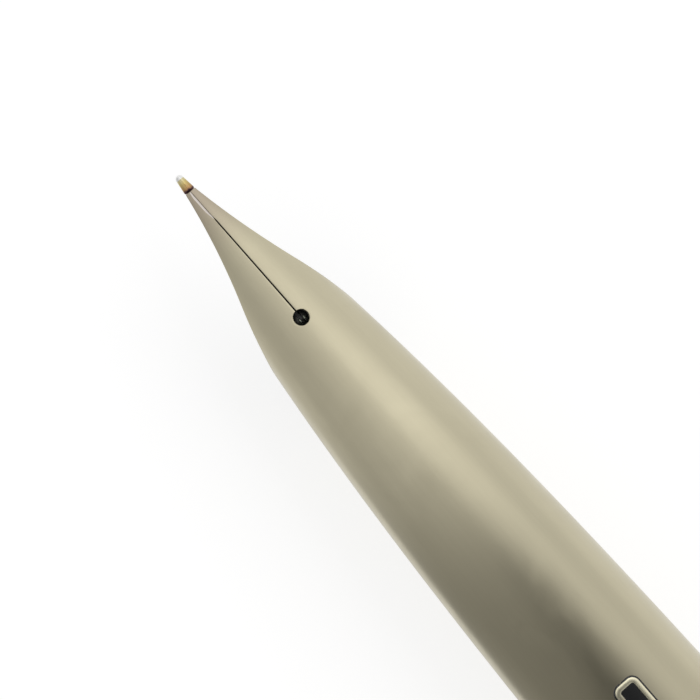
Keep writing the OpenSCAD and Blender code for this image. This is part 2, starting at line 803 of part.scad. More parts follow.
nib_section();
tip_weld();
tip_point();
feed();
feed_sleeve();
section_liner();
section_seal();
section_ring();
converter_mouth();
converter_tube();
converter_sleeve();
converter_knob();
drive_nut();
piston_screw();
piston_seal();
barrel_ring();
barrel_tube();
barrel_bush();
tail_plug();
cap_tube();
cap_lip();
cap_clutch();
cap_liner();
crown_block();
crown_ring();
crown_cap();
clip();
clip_bead();
clip_pin();
clip_spring();
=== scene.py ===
"""Looks of the steel fountain pen: its nib and grip, tipping, threads, cap, clip and their finishes."""

import json
import math

import bmesh
import bpy
from mathutils import Matrix, Vector


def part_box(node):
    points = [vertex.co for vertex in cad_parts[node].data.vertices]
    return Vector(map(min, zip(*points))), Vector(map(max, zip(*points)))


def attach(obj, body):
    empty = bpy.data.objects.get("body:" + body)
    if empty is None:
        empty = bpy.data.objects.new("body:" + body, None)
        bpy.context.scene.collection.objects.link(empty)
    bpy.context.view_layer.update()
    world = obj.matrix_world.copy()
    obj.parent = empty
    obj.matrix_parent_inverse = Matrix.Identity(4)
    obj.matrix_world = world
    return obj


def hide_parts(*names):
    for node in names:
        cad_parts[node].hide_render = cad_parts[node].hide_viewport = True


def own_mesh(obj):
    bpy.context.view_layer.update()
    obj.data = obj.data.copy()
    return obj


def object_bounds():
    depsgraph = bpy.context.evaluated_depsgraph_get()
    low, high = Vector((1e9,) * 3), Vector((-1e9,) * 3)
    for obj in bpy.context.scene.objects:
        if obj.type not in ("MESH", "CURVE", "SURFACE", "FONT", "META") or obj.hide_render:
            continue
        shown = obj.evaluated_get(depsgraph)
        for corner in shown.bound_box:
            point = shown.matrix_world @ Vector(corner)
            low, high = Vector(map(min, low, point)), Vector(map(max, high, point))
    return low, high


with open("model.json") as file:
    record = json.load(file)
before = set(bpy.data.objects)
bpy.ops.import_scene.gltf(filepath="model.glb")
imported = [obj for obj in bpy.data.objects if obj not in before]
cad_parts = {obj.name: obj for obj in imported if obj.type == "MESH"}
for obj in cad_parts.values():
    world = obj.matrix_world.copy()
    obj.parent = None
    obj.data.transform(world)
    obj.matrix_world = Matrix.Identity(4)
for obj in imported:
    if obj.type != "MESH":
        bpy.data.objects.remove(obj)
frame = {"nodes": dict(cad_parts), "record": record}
cad_low, cad_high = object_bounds()
nodes = frame["nodes"]

MM = 0.001
TIP_X = cad_low.x


def at_tip(s):
    """X in metres of a distance from the tip."""
    return TIP_X + s * MM


def from_tip(x):
    """Distance in millimetres from the tip of an X in metres."""
    return (x - TIP_X) / MM


# ---- Sizes, in millimetres; "at" is a distance from the writing tip along the pen ----

section_len = 46.0
shoulder_at = 13.2
shoulder_r = 3.35
section_r = 5.3
shell_wall = 0.35
throat_at = 18.0
flare_at = 8.6
flare_half = 2.25
nose_half = 0.37
nose_h = 1.15
steel_at = 1.2
hole_at = 11.4
hole_r = 0.51
slit_half = 0.052
nose_round = 0.06
slit_tip_half = 0.005
slit_from = 3.3
ground_at = 2.25
ground_half = 1.25
edge_from = flare_at + (shoulder_at - flare_at) * 0.65
point_r = 0.3
point_h = nose_h - 0.2


def eased(start, end, a, b, slope_a, slope_b, s):
    """Smooth step from a at start to b at end, leaving at slope_a and arriving at slope_b."""
    length = end - start
    u = (s - start) / length
    return (
        (2 * u**3 - 3 * u**2 + 1) * a
        + (u**3 - 2 * u**2 + u) * length * slope_a
        + (3 * u**2 - 2 * u**3) * b
        + (u**3 - u**2) * length * slope_b
    )


def blend(a, b, u):
    u = min(max(u, 0.0), 1.0)
    return a + (b - a) * u * u * (3 - 2 * u)


def even(a, b, count):
    return [a + (b - a) * i / count for i in range(count + 1)]


def turn_steps(count):
    """Evenly spaced angles once round."""
    return even(0, 2 * math.pi, count)[:-1]


def shell_r(s):
    """Outside radius of the steel shell, and of the nib's arched top."""
    if s < shoulder_at:
        return eased(steel_at, shoulder_at, nose_h, shoulder_r, 0.24, 0.115, s)
    return eased(shoulder_at, section_len, shoulder_r, section_r, 0.115, 0.03, s)


def shell_in_r(s):
    return shell_r(s) - shell_wall


def flank(s):
    """Half of the nib's width."""
    if s < flare_at:
        return eased(steel_at, flare_at, nose_half, flare_half, 0.17, 0.335, s)
    return eased(flare_at, shoulder_at, flare_half, shoulder_r + 0.03, 0.335, 0.16, s)


def flank_h(s):
    return math.sqrt(max(shell_r(s) ** 2 - flank(s) ** 2, 0.0))


def lower_angle(s):
    """Angle from the nib's top round to its lower edge; pi where the shell is closed underneath."""
    r = shell_r(s)
    if s <= edge_from:
        return math.asin(min(flank(s) / r, 1.0))
    closed_h = -shell_r(throat_at) - 0.3
    h = eased(edge_from, throat_at, flank_h(edge_from), closed_h, -0.37, -0.35, s)
    return math.acos(max(-1.0, min(1.0, h / r))) if s < throat_at else math.pi


def slit_gap(s):
    """Half of the ink slit's width; the tines lie almost together in front of slit_from."""
    if s < slit_from:
        return slit_tip_half
    widening = slit_half * 0.2 * (s - slit_from) / (hole_at - slit_from)
    return blend(slit_tip_half, slit_half * 0.8, (s - slit_from) / 0.3) + widening


# ---- Meshes ----


def in_scene(name, data):
    """A new object with this data, in the scene."""
    made = bpy.data.objects.new(name, data)
    bpy.context.scene.collection.objects.link(made)
    return made


def mesh_of(name, points, faces, start_x=0.0):
    """A mesh from points in millimetres, set off along X from start_x in metres."""
    mesh = bpy.data.meshes.new(name)
    mesh.from_pydata([(start_x + x * MM, y * MM, z * MM) for x, y, z in points], [], faces)
    return mesh


def finished(name, points, faces, material, body, crease=35.0, merge=True):
    """A piece from points in millimetres (distance from the tip, across, up), merged and smoothed."""
    mesh = mesh_of(name, points, faces, TIP_X)
    work = bmesh.new()
    work.from_mesh(mesh)
    if merge:
        bmesh.ops.remove_doubles(work, verts=work.verts, dist=1e-7)
        bmesh.ops.dissolve_degenerate(work, dist=1e-8, edges=work.edges)
    bmesh.ops.recalc_face_normals(work, faces=work.faces)
    work.to_mesh(mesh)
    work.free()
    mesh.polygons.foreach_set("use_smooth", [True] * len(mesh.polygons))
    mesh.set_sharp_from_angle(angle=math.radians(crease))
    mesh.materials.append(material)
    piece = in_scene(name, mesh)
    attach(piece, body)
    return piece


def on_axis(s, r, angle):
    """Point at a distance from the tip, a radius and an angle from the top towards +Y."""
    return (s, r * math.sin(angle), r * math.cos(angle))


def cell(count, row, i, start=0):
    """Corners of one four-sided face in rows of count spots; a closed row's last spot meets its first."""
    here, after, j = start + row * count, start + (row + 1) * count, (i + 1) % count
    return [here + i, here + j, after + j, after + i]


def loft(loops, open_links=None, caps=True):
    """Faces between closed loops of the same count; open_links(row, i) says which ones to leave out."""
    count = len(loops[0])
    points = [p for loop in loops for p in loop]
    faces = [
        cell(count, row, i) for row in range(len(loops) - 1) for i in range(count)
        if not (open_links and open_links(row, i))
    ]
    if caps:
        faces.append(list(range(count)))
        last = (len(loops) - 1) * count
        faces.append([last + i for i in reversed(range(count))])
    return points, faces


def joined(*parts):
    """Several (points, faces) as one."""
    points, faces = [], []
    for part_points, part_faces in parts:
        start = len(points)
        points += part_points
        faces += [[start + i for i in face] for face in part_faces]
    return points, faces


def mirrored(points, faces):
    """The same mesh and its mirror image across the pen's middle plane."""
    return joined((points, faces), ([(x, -y, z) for x, y, z in points], [face[::-1] for face in faces]))


# ---- Finishes ----


def link(tree, source, target):
    tree.links.new(source, target)


def add(tree, kind, **values):
    """A node with properties, input values and links set; inputs are named with their socket's name."""
    made = tree.nodes.new(kind)
    for key, value in values.items():
        label = key.replace("_", " ").title()
        if isinstance(value, bpy.types.NodeSocket):
            link(tree, value, made.inputs[label])
        elif hasattr(made, key):
            setattr(made, key, value)
        else:
            made.inputs[label].default_value = value
    return made


def output_of(tree, kind, **values):
    """The first output of a node made by add."""
    return add(tree, kind, **values).outputs[0]


def math_node(tree, operation, a, b=None, c=None):
    made = add(tree, "ShaderNodeMath", operation=operation)
    for socket, value in zip(made.inputs, (a, b, c)):
        if isinstance(value, bpy.types.NodeSocket):
            link(tree, value, socket)
        elif value is not None:
            socket.default_value = value
    return made.outputs[0]


def times(tree, a, b):
    return math_node(tree, "MULTIPLY", a, b)


def times_plus(tree, a, b, c):
    return math_node(tree, "MULTIPLY_ADD", a, b, c)


def per_metre(tree, per_mm):
    return times(tree, per_mm, 1000.0)


def from_mm(tree, size_mm):
    """Texture scale that gives a pattern this many millimetres large."""
    return math_node(tree, "DIVIDE", 1000.0, size_mm)


def object_place(tree):
    """Object coordinates, whole and as separate axes."""
    place = tree.nodes.new("ShaderNodeTexCoord").outputs["Object"]
    axes = tree.nodes.new("ShaderNodeSeparateXYZ")
    link(tree, place, axes.inputs[0])
    return place, axes.outputs


def new_group(name, inputs, outputs):
    """An empty shader node group with float inputs {name: value} and these float outputs."""
    tree = bpy.data.node_groups.new(name, "ShaderNodeTree")
    for label, value in inputs.items():
        tree.interface.new_socket(label, in_out="INPUT", socket_type="NodeSocketFloat").default_value = value
    for label in outputs:
        tree.interface.new_socket(label, in_out="OUTPUT", socket_type="NodeSocketFloat")
    return tree, tree.nodes.new("NodeGroupInput").outputs, tree.nodes.new("NodeGroupOutput").inputs


def noise(tree, **values):
    return output_of(tree, "ShaderNodeTexNoise", **values)


def mapped(tree, value, **ends):
    """A value brought from one span to another, 0 to 1 unless told."""
    return output_of(tree, "ShaderNodeMapRange", value=value, **ends)


def grain_group():
    """Fine lines drawn along the pen: a height for Bump, and a mask of the lines' tone."""
    tree, given, out = new_group(
        "drawn_grain", {"Lines per mm": 14.0, "Line length mm": 6.0, "Waver": 0.3}, ("Height", "Tone")
    )
    axes = object_place(tree)[1]
    per_m = per_metre(tree, given["Lines per mm"])
    along = times(tree, axes[0], from_mm(tree, given["Line length mm"]))
    across = [times(tree, axis, per_m) for axis in (axes[1], axes[2])]
    spread = output_of(tree, "ShaderNodeCombineXYZ", x=along, y=across[0], z=across[1])
    lines = noise(tree, scale=1.0, detail=3.0, roughness=0.6, vector=spread, distortion=given["Waver"])
    coarse = noise(tree, scale=0.35, detail=2.0, vector=spread)
    link(tree, lines, out["Height"])
    link(tree, mapped(tree, coarse, from_min=0.3, from_max=0.7), out["Tone"])
    return tree


def marks_group():
    """Faint handling marks: soft smears and a few hairline scratches, each as a mask."""
    tree, given, out = new_group(
        "handling_marks", {"Smear size mm": 5.0, "Scratch size mm": 2.5}, ("Smears", "Scratches")
    )
    place = object_place(tree)[0]
    smears = noise(tree, detail=4.0, roughness=0.55, distortion=0.8, vector=place,
                   scale=from_mm(tree, given["Smear size mm"]))
    soft = mapped(tree, smears, from_min=0.42, from_max=0.72)
    bent = output_of(tree, "ShaderNodeMapping", vector=place, scale=(0.35, 1.0, 1.0), rotation=(0.2, 0.5, 0.3))
    cells = output_of(tree, "ShaderNodeTexVoronoi", feature="DISTANCE_TO_EDGE", randomness=1.0, vector=bent,
                      scale=from_mm(tree, given["Scratch size mm"]))
    thin = mapped(tree, cells, from_min=0.0, from_max=0.012, to_min=1.0, to_max=0.0)
    link(tree, soft, out["Smears"])
    link(tree, times(tree, thin, soft), out["Scratches"])
    return tree


def turning_group():
    """Rings left by turning on a lathe, as a height along the pen's axis."""
    tree, given, out = new_group("turning_rings", {"Rings per mm": 9.0}, ("Height",))
    along = times(tree, object_place(tree)[1][0], per_metre(tree, given["Rings per mm"]))
    link(tree, noise(tree, noise_dimensions="1D", detail=2.0, scale=1.0, w=along), out["Height"])
    return tree


def skin_group():
    """Moulded plastic's faint orange-peel height, and a dust mask."""
    tree, given, out = new_group("moulded_skin", {"Peel size mm": 0.5}, ("Height", "Dust"))
    place = object_place(tree)[0]
    peel = noise(tree, detail=2.0, vector=place, scale=from_mm(tree, given["Peel size mm"]))
    specks = noise(tree, scale=2600.0, detail=3.0, vector=place)
    link(tree, peel, out["Height"])
    link(tree, mapped(tree, specks, from_min=0.6, from_max=0.85), out["Dust"])
    return tree


DRAWN_GRAIN = grain_group()
HANDLING_MARKS = marks_group()
TURNING_RINGS = turning_group()
MOULDED_SKIN = skin_group()


def use(tree, group, **values):
    """The outputs of a node group set into a tree, with some of its inputs."""
    made = add(tree, "ShaderNodeGroup", node_tree=group)
    for key, value in values.items():
        made.inputs[key.replace("_", " ")].default_value = value
    return made.outputs


def new_material(name):
    material = bpy.data.materials.new(name)
    material.use_nodes = True
    return material, material.node_tree


def finish_base(name, color, metallic, roughness):
    material, tree = new_material(name)
    shader = tree.nodes["Principled BSDF"]
    shader.inputs["Base Color"].default_value = (*color, 1)
    shader.inputs["Metallic"].default_value = metallic
    shader.inputs["Roughness"].default_value = roughness
    return material, tree, shader


def tinted(tree, shader, color, dark, mask, strength):
    """Base colour that goes from color to dark where the mask is high."""
    factor = times(tree, mask, strength)
    mix = add(tree, "ShaderNodeMix", data_type="RGBA", a=(*color, 1), b=(*dark, 1), factor=factor)
    link(tree, mix.outputs["Result"], shader.inputs["Base Color"])


def bumped(tree, shader, height, depth_mm):
    bump = output_of(tree, "ShaderNodeBump", strength=1.0, distance=depth_mm * MM, height=height)
    link(tree, bump, shader.inputs["Normal"])


def roughened(tree, shader, mask, amount, base):
    """Roughness that rises from base by the amount where the mask is high."""
    link(tree, times_plus(tree, mask, amount, base), shader.inputs["Roughness"])


def drawn_metal(name, color, dark, roughness, spread, lines, depth_mm):
    """Steel with lengthwise grain, faint smears and hairlines."""
    material, tree, shader = finish_base(name, color, 1.0, roughness)
    grain = use(tree, DRAWN_GRAIN, Lines_per_mm=lines)
    marks = use(tree, HANDLING_MARKS)
    toned = times(tree, grain["Tone"], 0.4)
    tinted(tree, shader, color, dark, times_plus(tree, marks["Smears"], 0.6, toned), 0.5)
    rough = times_plus(tree, marks["Smears"], spread, roughness)
    roughened(tree, shader, marks["Scratches"], -spread, rough)
    bumped(tree, shader, grain["Height"], depth_mm)
    return material


def turned_metal(name, color, dark, roughness, rings, depth_mm):
    """Metal turned on a lathe: rings round the axis and faint smears."""
    material, tree, shader = finish_base(name, color, 1.0, roughness)
    smears = use(tree, HANDLING_MARKS, Smear_size_mm=3.0)["Smears"]
    tinted(tree, shader, color, dark, smears, 0.3)
    roughened(tree, shader, smears, 0.07, roughness)
    bumped(tree, shader, use(tree, TURNING_RINGS, Rings_per_mm=rings)["Height"], depth_mm)
    return material


def moulded(name, color, roughness, peel_mm, depth_mm, dust=0.25):
    """Plastic or rubber with a faint skin and a little pale dust."""
    material, tree, shader = finish_base(name, color, 0.0, roughness)
    skin = use(tree, MOULDED_SKIN, Peel_size_mm=peel_mm)
    tinted(tree, shader, color, (0.16, 0.155, 0.15), skin["Dust"], dust)
    roughened(tree, shader, skin["Dust"], 0.3, roughness)
    bumped(tree, shader, skin["Height"], depth_mm)
    return material


def clear_plastic(name):
    material, tree, shader = finish_base(name, (0.88, 0.91, 0.92), 0.0, 0.06)
    shader.inputs["Transmission Weight"].default_value = 1.0
    shader.inputs["IOR"].default_value = 1.5
    skin = use(tree, MOULDED_SKIN, Peel_size_mm=2.0)
    roughened(tree, shader, skin["Dust"], 0.15, 0.06)
    bumped(tree, shader, skin["Height"], 0.004)
    return material


def weld_metal(name):
    """Gold-coloured weld: pale near the hard point, tan behind, with a dark seam at the steel that is partly
    weld oxide and partly painted shade of the groove there.
    """
    material, tree, shader = finish_base(name, (0.55, 0.45, 0.22), 1.0, 0.24)
    share = mapped(tree, object_place(tree)[1][0], from_min=at_tip(point_r), from_max=at_tip(steel_at))
    smears = use(tree, HANDLING_MARKS, Smear_size_mm=0.3)["Smears"]
    # The ramp's last, nearly black stop is the seam at the steel: weld oxide, with painted shade of the groove
    # between weld and steel.
    shade = tree.nodes.new("ShaderNodeValToRGB")
    stops = shade.color_ramp.elements
    for k, (at, color) in enumerate((
        (0.0, (0.64, 0.61, 0.40)), (0.4, (0.55, 0.44, 0.18)), (0.82, (0.42, 0.25, 0.11)),
        (0.95, (0.09, 0.045, 0.05)),
    )):
        stop = stops[k] if k < 2 else stops.new(at)
        stop.position, stop.color = at, (*color, 1)
    streaks = use(tree, DRAWN_GRAIN, Lines_per_mm=7.0, Line_length_mm=1.5)["Tone"]
    streaked = math_node(tree, "SUBTRACT", times_plus(tree, streaks, 0.22, share), 0.12)
    link(tree, times_plus(tree, smears, 0.1, streaked), shade.inputs["Fac"])
    link(tree, shade.outputs["Color"], shader.inputs["Base Color"])
    roughened(tree, shader, smears, 0.15, 0.22)
    bumped(tree, shader, use(tree, TURNING_RINGS, Rings_per_mm=6.0)["Height"], 0.002)
    return material


def ink_painted_glint():
    """Drying ink, its colour lightened to a pale green-grey as a painted glint, where real ink is dark green;
    a skin varies its tone and roughness.
    """
    material, tree, shader = finish_base("ink_painted_glint", (0.6, 0.66, 0.58), 0.6, 0.2)
    skin = use(tree, MOULDED_SKIN, Peel_size_mm=0.08)
    # Painted glint: both colours are far paler than dark green ink, so the beads shine in the dark well.
    tinted(tree, shader, (0.66, 0.72, 0.64), (0.3, 0.36, 0.3), skin["Height"], 0.8)
    roughened(tree, shader, skin["Dust"], 0.2, 0.12)
    return material


def nib_steel():
    """The satin steel, darkened towards the nose with the brown that welding leaves."""
    material = drawn_metal("nib_steel", *SATIN)
    tree = material.node_tree
    color = tree.nodes["Principled BSDF"].inputs["Base Color"]
    near = mapped(tree, object_place(tree)[1][0], interpolation_type="SMOOTHSTEP", from_min=at_tip(steel_at),
                  from_max=at_tip(6.5), to_min=1.0, to_max=0.0)
    mix = add(tree, "ShaderNodeMix", data_type="RGBA", blend_type="MULTIPLY", factor=near,
              a=color.links[0].from_socket, b=(0.76, 0.71, 0.76, 1))
    link(tree, mix.outputs["Result"], color)
    return material


SATIN = ((0.53, 0.487, 0.352), (0.475, 0.434, 0.31), 0.28, 0.06, 14.0, 0.0006)
INK_PAINTED_GLINT = ink_painted_glint()
GROUND_EDGE = drawn_metal("ground_edge", (0.58, 0.53, 0.49), (0.48, 0.44, 0.40), 0.2, 0.08, 20.0, 0.0003)
MARK_METAL = turned_metal("mark_metal", (0.88, 0.83, 0.62), (0.76, 0.70, 0.46), 0.3, 6.0, 0.0004)
NIB_STEEL = nib_steel()
FINISHES = {
    name: made(name, *values) for name, made, values in (
        ("satin_steel", drawn_metal, SATIN),
        ("bright_steel", turned_metal, ((0.66, 0.64, 0.59), (0.58, 0.56, 0.51), 0.12, 9.0, 0.0004)),
        ("spring_steel", drawn_metal, ((0.42, 0.42, 0.42), (0.32, 0.32, 0.33), 0.28, 0.1, 18.0, 0.0006)),
        ("weld_gold", weld_metal, ()),
        ("hard_alloy", turned_metal, ((0.80, 0.80, 0.79), (0.68, 0.68, 0.68), 0.12, 12.0, 0.0002)),
        ("brass", turned_metal, ((0.60, 0.42, 0.17), (0.46, 0.30, 0.11), 0.22, 7.0, 0.001)),
        ("feed_plastic", moulded, ((0.020, 0.023, 0.020), 0.24, 0.4, 0.002)),
        ("black_plastic", moulded, ((0.018, 0.018, 0.018), 0.22, 0.6, 0.0015)),
        ("clear_plastic", clear_plastic, ()),
        ("rubber", moulded, ((0.03, 0.03, 0.03), 0.7, 0.25, 0.004, 0.5)),
    )
}

for part in frame["record"]["subparts"]:
    shown = nodes[part["node"]]
    shown.data.materials.clear()
    shown.data.materials.append(FINISHES[part["material_slot"]])

# ---- Nib and grip ----


def nib_stations():
    """Distances from the tip, closer together at the nose, round the breather hole and at the throat."""
    from_slit = math.asin(slit_half / hole_r)
    hole = [hole_at - hole_r * math.cos(a) for a in even(from_slit, math.pi, 22)]
    nose = [steel_at, steel_at + nose_round / 2, steel_at + nose_round]
    front = even(steel_at + 0.1, 4.4, 16) + even(4.6, hole[0] - 0.15, 18)
    rear = even(hole[-1] + 0.1, throat_at - 1.6, 16) + even(throat_at - 1.5, throat_at, 24)
    grip = even(throat_at + 0.4, section_len - 0.15, 50) + [section_len - 0.06, section_len]
    return nose + front + hole + rear + grip


def top_gap(s):
    """Half of the opening at the nib's top: the slit, then the breather hole, then none."""
    rim = hole_r**2 - (s - hole_at) ** 2
    gap = math.sqrt(max(rim, 0.0)) if s > hole_at - hole_r else 0.0
    if s <= hole_at:
        gap = max(gap, slit_gap(s))
    return gap if gap > 1e-4 else 0.0


def slit_bevel(s, side):
    """Width of the slit's chamfer: the tines are ground near the nose, one side more than the other."""
    ground = max(0.0, 1 - ((s - ground_at) / ground_half) ** 2)
    wide = 0.012 + (0.17 if side < 0 else 0.0) * ground
    if s >= hole_at - hole_r:
        wide = 0.03
    return min(wide, top_gap(s) * (30 if s < hole_at else 3))


def half_nib(side, across=30):
    """One half of the shell, from the slit round to the lower edge, as a loft of closed loops."""
    loops, open_top, open_under = [], [], []
    for s in nib_stations():
        nose_in = max(0.0, steel_at + nose_round - s) + (0.05 if s > section_len - 0.03 else 0.0)
        r = shell_r(s) - nose_in
        inner = shell_in_r(s) + nose_in * 0.5
        start = math.asin(top_gap(s) / r)
        end = lower_angle(s) - (nose_in / r if s < flare_at else 0.0)
        under_open = end < math.pi - 1e-4
        round_a = min(slit_bevel(s, side), (end - start) * r * 0.6)
        round_b = min(0.05, (math.pi - end) * r * 0.3) if under_open else 0.0
        drop_a, drop_b = min(round_a * 0.4, 0.055), min(round_b, 0.05)
        outside = [(r, a) for a in even(start + round_a / r, end - round_b / r, across)]
        lip = [(r - 0.3 * drop_b, end - 0.3 * round_b / r), (r - drop_b, end), (inner + drop_b, end)]
        inside = [(inner, a) for a in even(end - round_b / inner, start, across)]
        slit = [(r - drop_a, start), (r - 0.5 * drop_a, start + 0.5 * round_a / r)]
        loops.append([on_axis(s, radius, a * side) for radius, a in outside + lip + inside + slit])
        open_top.append(top_gap(s) > 0)
        open_under.append(under_open)
    inner_at, slit_link, count = across + 4, 2 * across + 4, len(loops[0])

    def left_out(row, i):
        if across <= i < inner_at:
            return not (open_under[row] or open_under[row + 1])
        return i >= slit_link and not (open_top[row] or open_top[row + 1])

    points, faces = loft(loops, left_out, caps=False)
    for row in (0, len(loops) - 1):
        first = row * count
        for i in range(across):
            j = inner_at + across - i
            faces.append([first + i, first + i + 1, first + j - 1, first + j])
        if row == 0:
            faces.append([first + k for k in range(across, inner_at + 1)])
            faces.append([first + k for k in range(slit_link, count)] + [first])
    return points, faces


def build_nib():
    shell = finished("nib_shell", *joined(half_nib(1), half_nib(-1)), NIB_STEEL, "section", crease=30.0)
    shell.data.materials.append(GROUND_EDGE)
    for face in shell.data.polygons:
        s, y, z = from_tip(face.center.x), face.center.y / MM, face.center.z / MM
        beside_slit = slit_tip_half < -y < slit_tip_half + slit_bevel(s, -1) + 0.004
        if 1.3 < s < ground_at + ground_half and beside_slit and z > shell_r(s) - 0.14:
            face.material_index = 1
    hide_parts("nib_section")


def split_loft(stations, half_w, half_h, middle, around=18):
    """A bead that the slit splits in two; its half width, half height and middle are by distance."""
    loops = []
    for s in stations:
        w, h, gap = half_w(s), half_h(s), slit_gap(s)
        start = math.asin(min(gap / w, 0.95))
        mid = middle(s)
        rim = [(s, w * math.sin(a), mid + h * math.cos(a)) for a in even(start, math.pi - start, around)]
        wall = [(s, gap, mid + h * math.cos(start) * k) for k in (-0.5, 0.0, 0.5)]
        loops.append(rim + wall)
    return mirrored(*loft(loops))


def build_tipping():
    """The gold-coloured weld bead and the ball of hard alloy in front of it."""
    weld_from, weld_to, weld_r = point_r * 0.95, steel_at, 0.25

    def share(s):
        return (s - weld_from) / (weld_to - weld_from)

    def seam(s):
        """The narrow groove at the steel's edge."""
        return -0.025 * max(0.0, share(s) - 0.9) / 0.1

    def half_w(s):
        return weld_r + (nose_half - weld_r) * min(share(s), 0.96) + seam(s)

    def half_h(s):
        return weld_r + seam(s)

    def middle(s):
        return blend(point_h, nose_h - weld_r, share(s))

    def ball(s):
        return 0.27 * math.sqrt(max(1 - (s / point_r - 1) ** 2, 1e-5))

    along_weld = even(weld_from, weld_to, 22)
    along_ball = [point_r - point_r * math.cos(a) for a in even(0.12, math.pi / 2, 14)]
    for name, node, slot, bead in (
        ("nib_weld", "tip_weld", "weld_gold", split_loft(along_weld, half_w, half_h, middle)),
        ("nib_point", "tip_point", "hard_alloy", split_loft(along_ball, ball, ball, lambda s: point_h)),
    ):
        piece = finished(name, *bead, FINISHES[slot], "section", crease=40.0)
        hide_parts(node)


def oblong_ring(half_l, half_w, corner, steps=10):
    """Spots round a rounded oblong, each with the direction that points out of it."""
    ring = []
    for k, (cs, ca) in enumerate(((1, 1), (-1, 1), (-1, -1), (1, -1))):
        for turn in even(k * math.pi / 2, (k + 1) * math.pi / 2, steps):
            out = (math.cos(turn), math.sin(turn))
            along, over = cs * (half_l - corner) + corner * out[0], ca * (half_w - corner) + corner * out[1]
            ring.append((along, over, out))
    return ring


def build_mark():
    """A plain oblong inlay near the rear of the grip: a polished frame with dark edges round a dark field."""
    front, length, width, corner, band = 40.58, 4.2, 1.36, 0.34, 0.18
    middle_s, middle_a = front + length / 2, 0.034
    profile = [
        (-1.5, -0.02), (-1.4, 0.006), (-1.05, 0.008), (-0.9, 0.028), (0.0, 0.032),
        (0.9, 0.028), (1.05, 0.008), (1.5, 0.006), (1.6, -0.02),
    ]
    polished, field_in, field_lift = (3, 4), 0.95, 0.008
    ring = oblong_ring(length / 2, width / 2, corner)
    points = []
    for ds, da, out in ring:
        for w, lift in profile:
            s = middle_s + ds + out[0] * w * band
            r = shell_r(s)
            points.append(on_axis(s, r + lift, middle_a + (da + out[1] * w * band) / r))
    count, across = len(ring), len(profile)
    faces, dark = [], []
    for row in range(count):
        for i in range(across - 1):
            faces.append([v % len(points) for v in cell(across, row, i)])
            dark.append(i not in polished)
    field_at, field_cells = len(points), 8
    for row in range(count // 2):
        ds, da, out = ring[row]
        s = middle_s + ds - out[0] * field_in * band
        r = shell_r(s)
        reach = abs(da) - abs(out[1]) * field_in * band
        points += [on_axis(s, r + field_lift, middle_a + reach * u / r) for u in even(-1, 1, field_cells)]
    for row in range(count // 2 - 1):
        faces += [cell(field_cells + 1, row, i, field_at) for i in range(field_cells)]
        dark += [True] * field_cells
    mark = finished("grip_mark", points, faces, MARK_METAL, "section", crease=60.0, merge=False)
    mark.data.materials.append(FINISHES["black_plastic"])
    for face, is_dark in zip(mark.data.polygons, dark):
        face.material_index = int(is_dark)


build_nib()
build_tipping()
build_mark()

# ---- Feed ----

feed_nose_at = 2.6
feed_keel_at = 17.5
feed_r = 2.5
fins_at = 15.2
fin_pitch = 0.9
fin_t = 0.4
fin_count = 7
fin_gap = 0.1
tongue_gap = 0.06
feed_rear = 29.5
channel_half = 0.15


def feed_keel(s):
    top = shell_in_r(feed_nose_at) - 0.4
    return eased(feed_nose_at, feed_keel_at, top, -feed_r, -0.16, -0.12, s)


def well(s):
    """Depth of the well in the feed under the breather hole; its rear end slopes up."""
    return blend(0, 0.5, (s - hole_at + 1.6) / 1.1) - blend(0, 0.5, (s - hole_at - 0.1) / 0.75)


def tongue_loop(s):
    top_r = shell_in_r(s) - tongue_gap
    half = min(flank(s) * 0.66, top_r * 0.93)
    keel = feed_keel(s)
    gap = min(channel_half, half * 0.4)
    rounding = (0.5 * (s - feed_nose_at)) ** 0.5 if s < feed_nose_at + 0.5 else 0.5
    half *= 0.5 + rounding
    side_z = math.sqrt(top_r**2 - half**2)
    floor_z = math.sqrt(top_r**2 - gap**2) - 0.42
    land = [(y, math.sqrt(top_r**2 - y * y) - well(s) * (1 - (y / half) ** 6)) for y in even(gap, half, 9)]
    drop = side_z - keel
    belly = [(half * math.cos(a), side_z - drop * math.sin(a)) for a in even(0.12, math.pi / 2, 10)]
    right = [(gap * 0.7, floor_z - well(s))] + land + belly
    left = [(-y, z) for y, z in reversed(right[:-1])]
    return [(s, y, z) for y, z in right + left]


def geometry_tree(name, sizes, count=None):
    """An empty geometry tree with float inputs {name: value}, a Count if given one, and a Material."""
    tree = bpy.data.node_groups.new(name, "GeometryNodeTree")
    sockets = [(label, "Float", value) for label, value in sizes.items()]
    if count:
        sockets.append(("Count", "Int", count))
    for label, kind, value in sockets:
        made = tree.interface.new_socket(label, in_out="INPUT", socket_type="NodeSocket" + kind)
        made.default_value = value
    tree.interface.new_socket("Material", in_out="INPUT", socket_type="NodeSocketMaterial")
    tree.interface.new_socket("Geometry", in_out="OUTPUT", socket_type="NodeSocketGeometry")
    return tree, tree.nodes.new("NodeGroupInput").outputs


def finish_tree(tree, geometry, given):
    """Ends a tree in Realize Instances and Set Material."""
    real = output_of(tree, "GeometryNodeRealizeInstances", geometry=geometry)
    coat = output_of(tree, "GeometryNodeSetMaterial", geometry=real, material=given["Material"])
    link(tree, coat, tree.nodes.new("NodeGroupOutput").inputs["Geometry"])
    return tree


QUARTER_TURN = (0, math.pi / 2, 0)


def laid_along_x(tree, geometry, x):
    """Geometry built about Z, turned to lie about X and shifted along it."""
    shift = output_of(tree, "ShaderNodeCombineXYZ", x=x)
    return output_of(tree, "GeometryNodeTransform", geometry=geometry, rotation=QUARTER_TURN,
                     translation=shift)


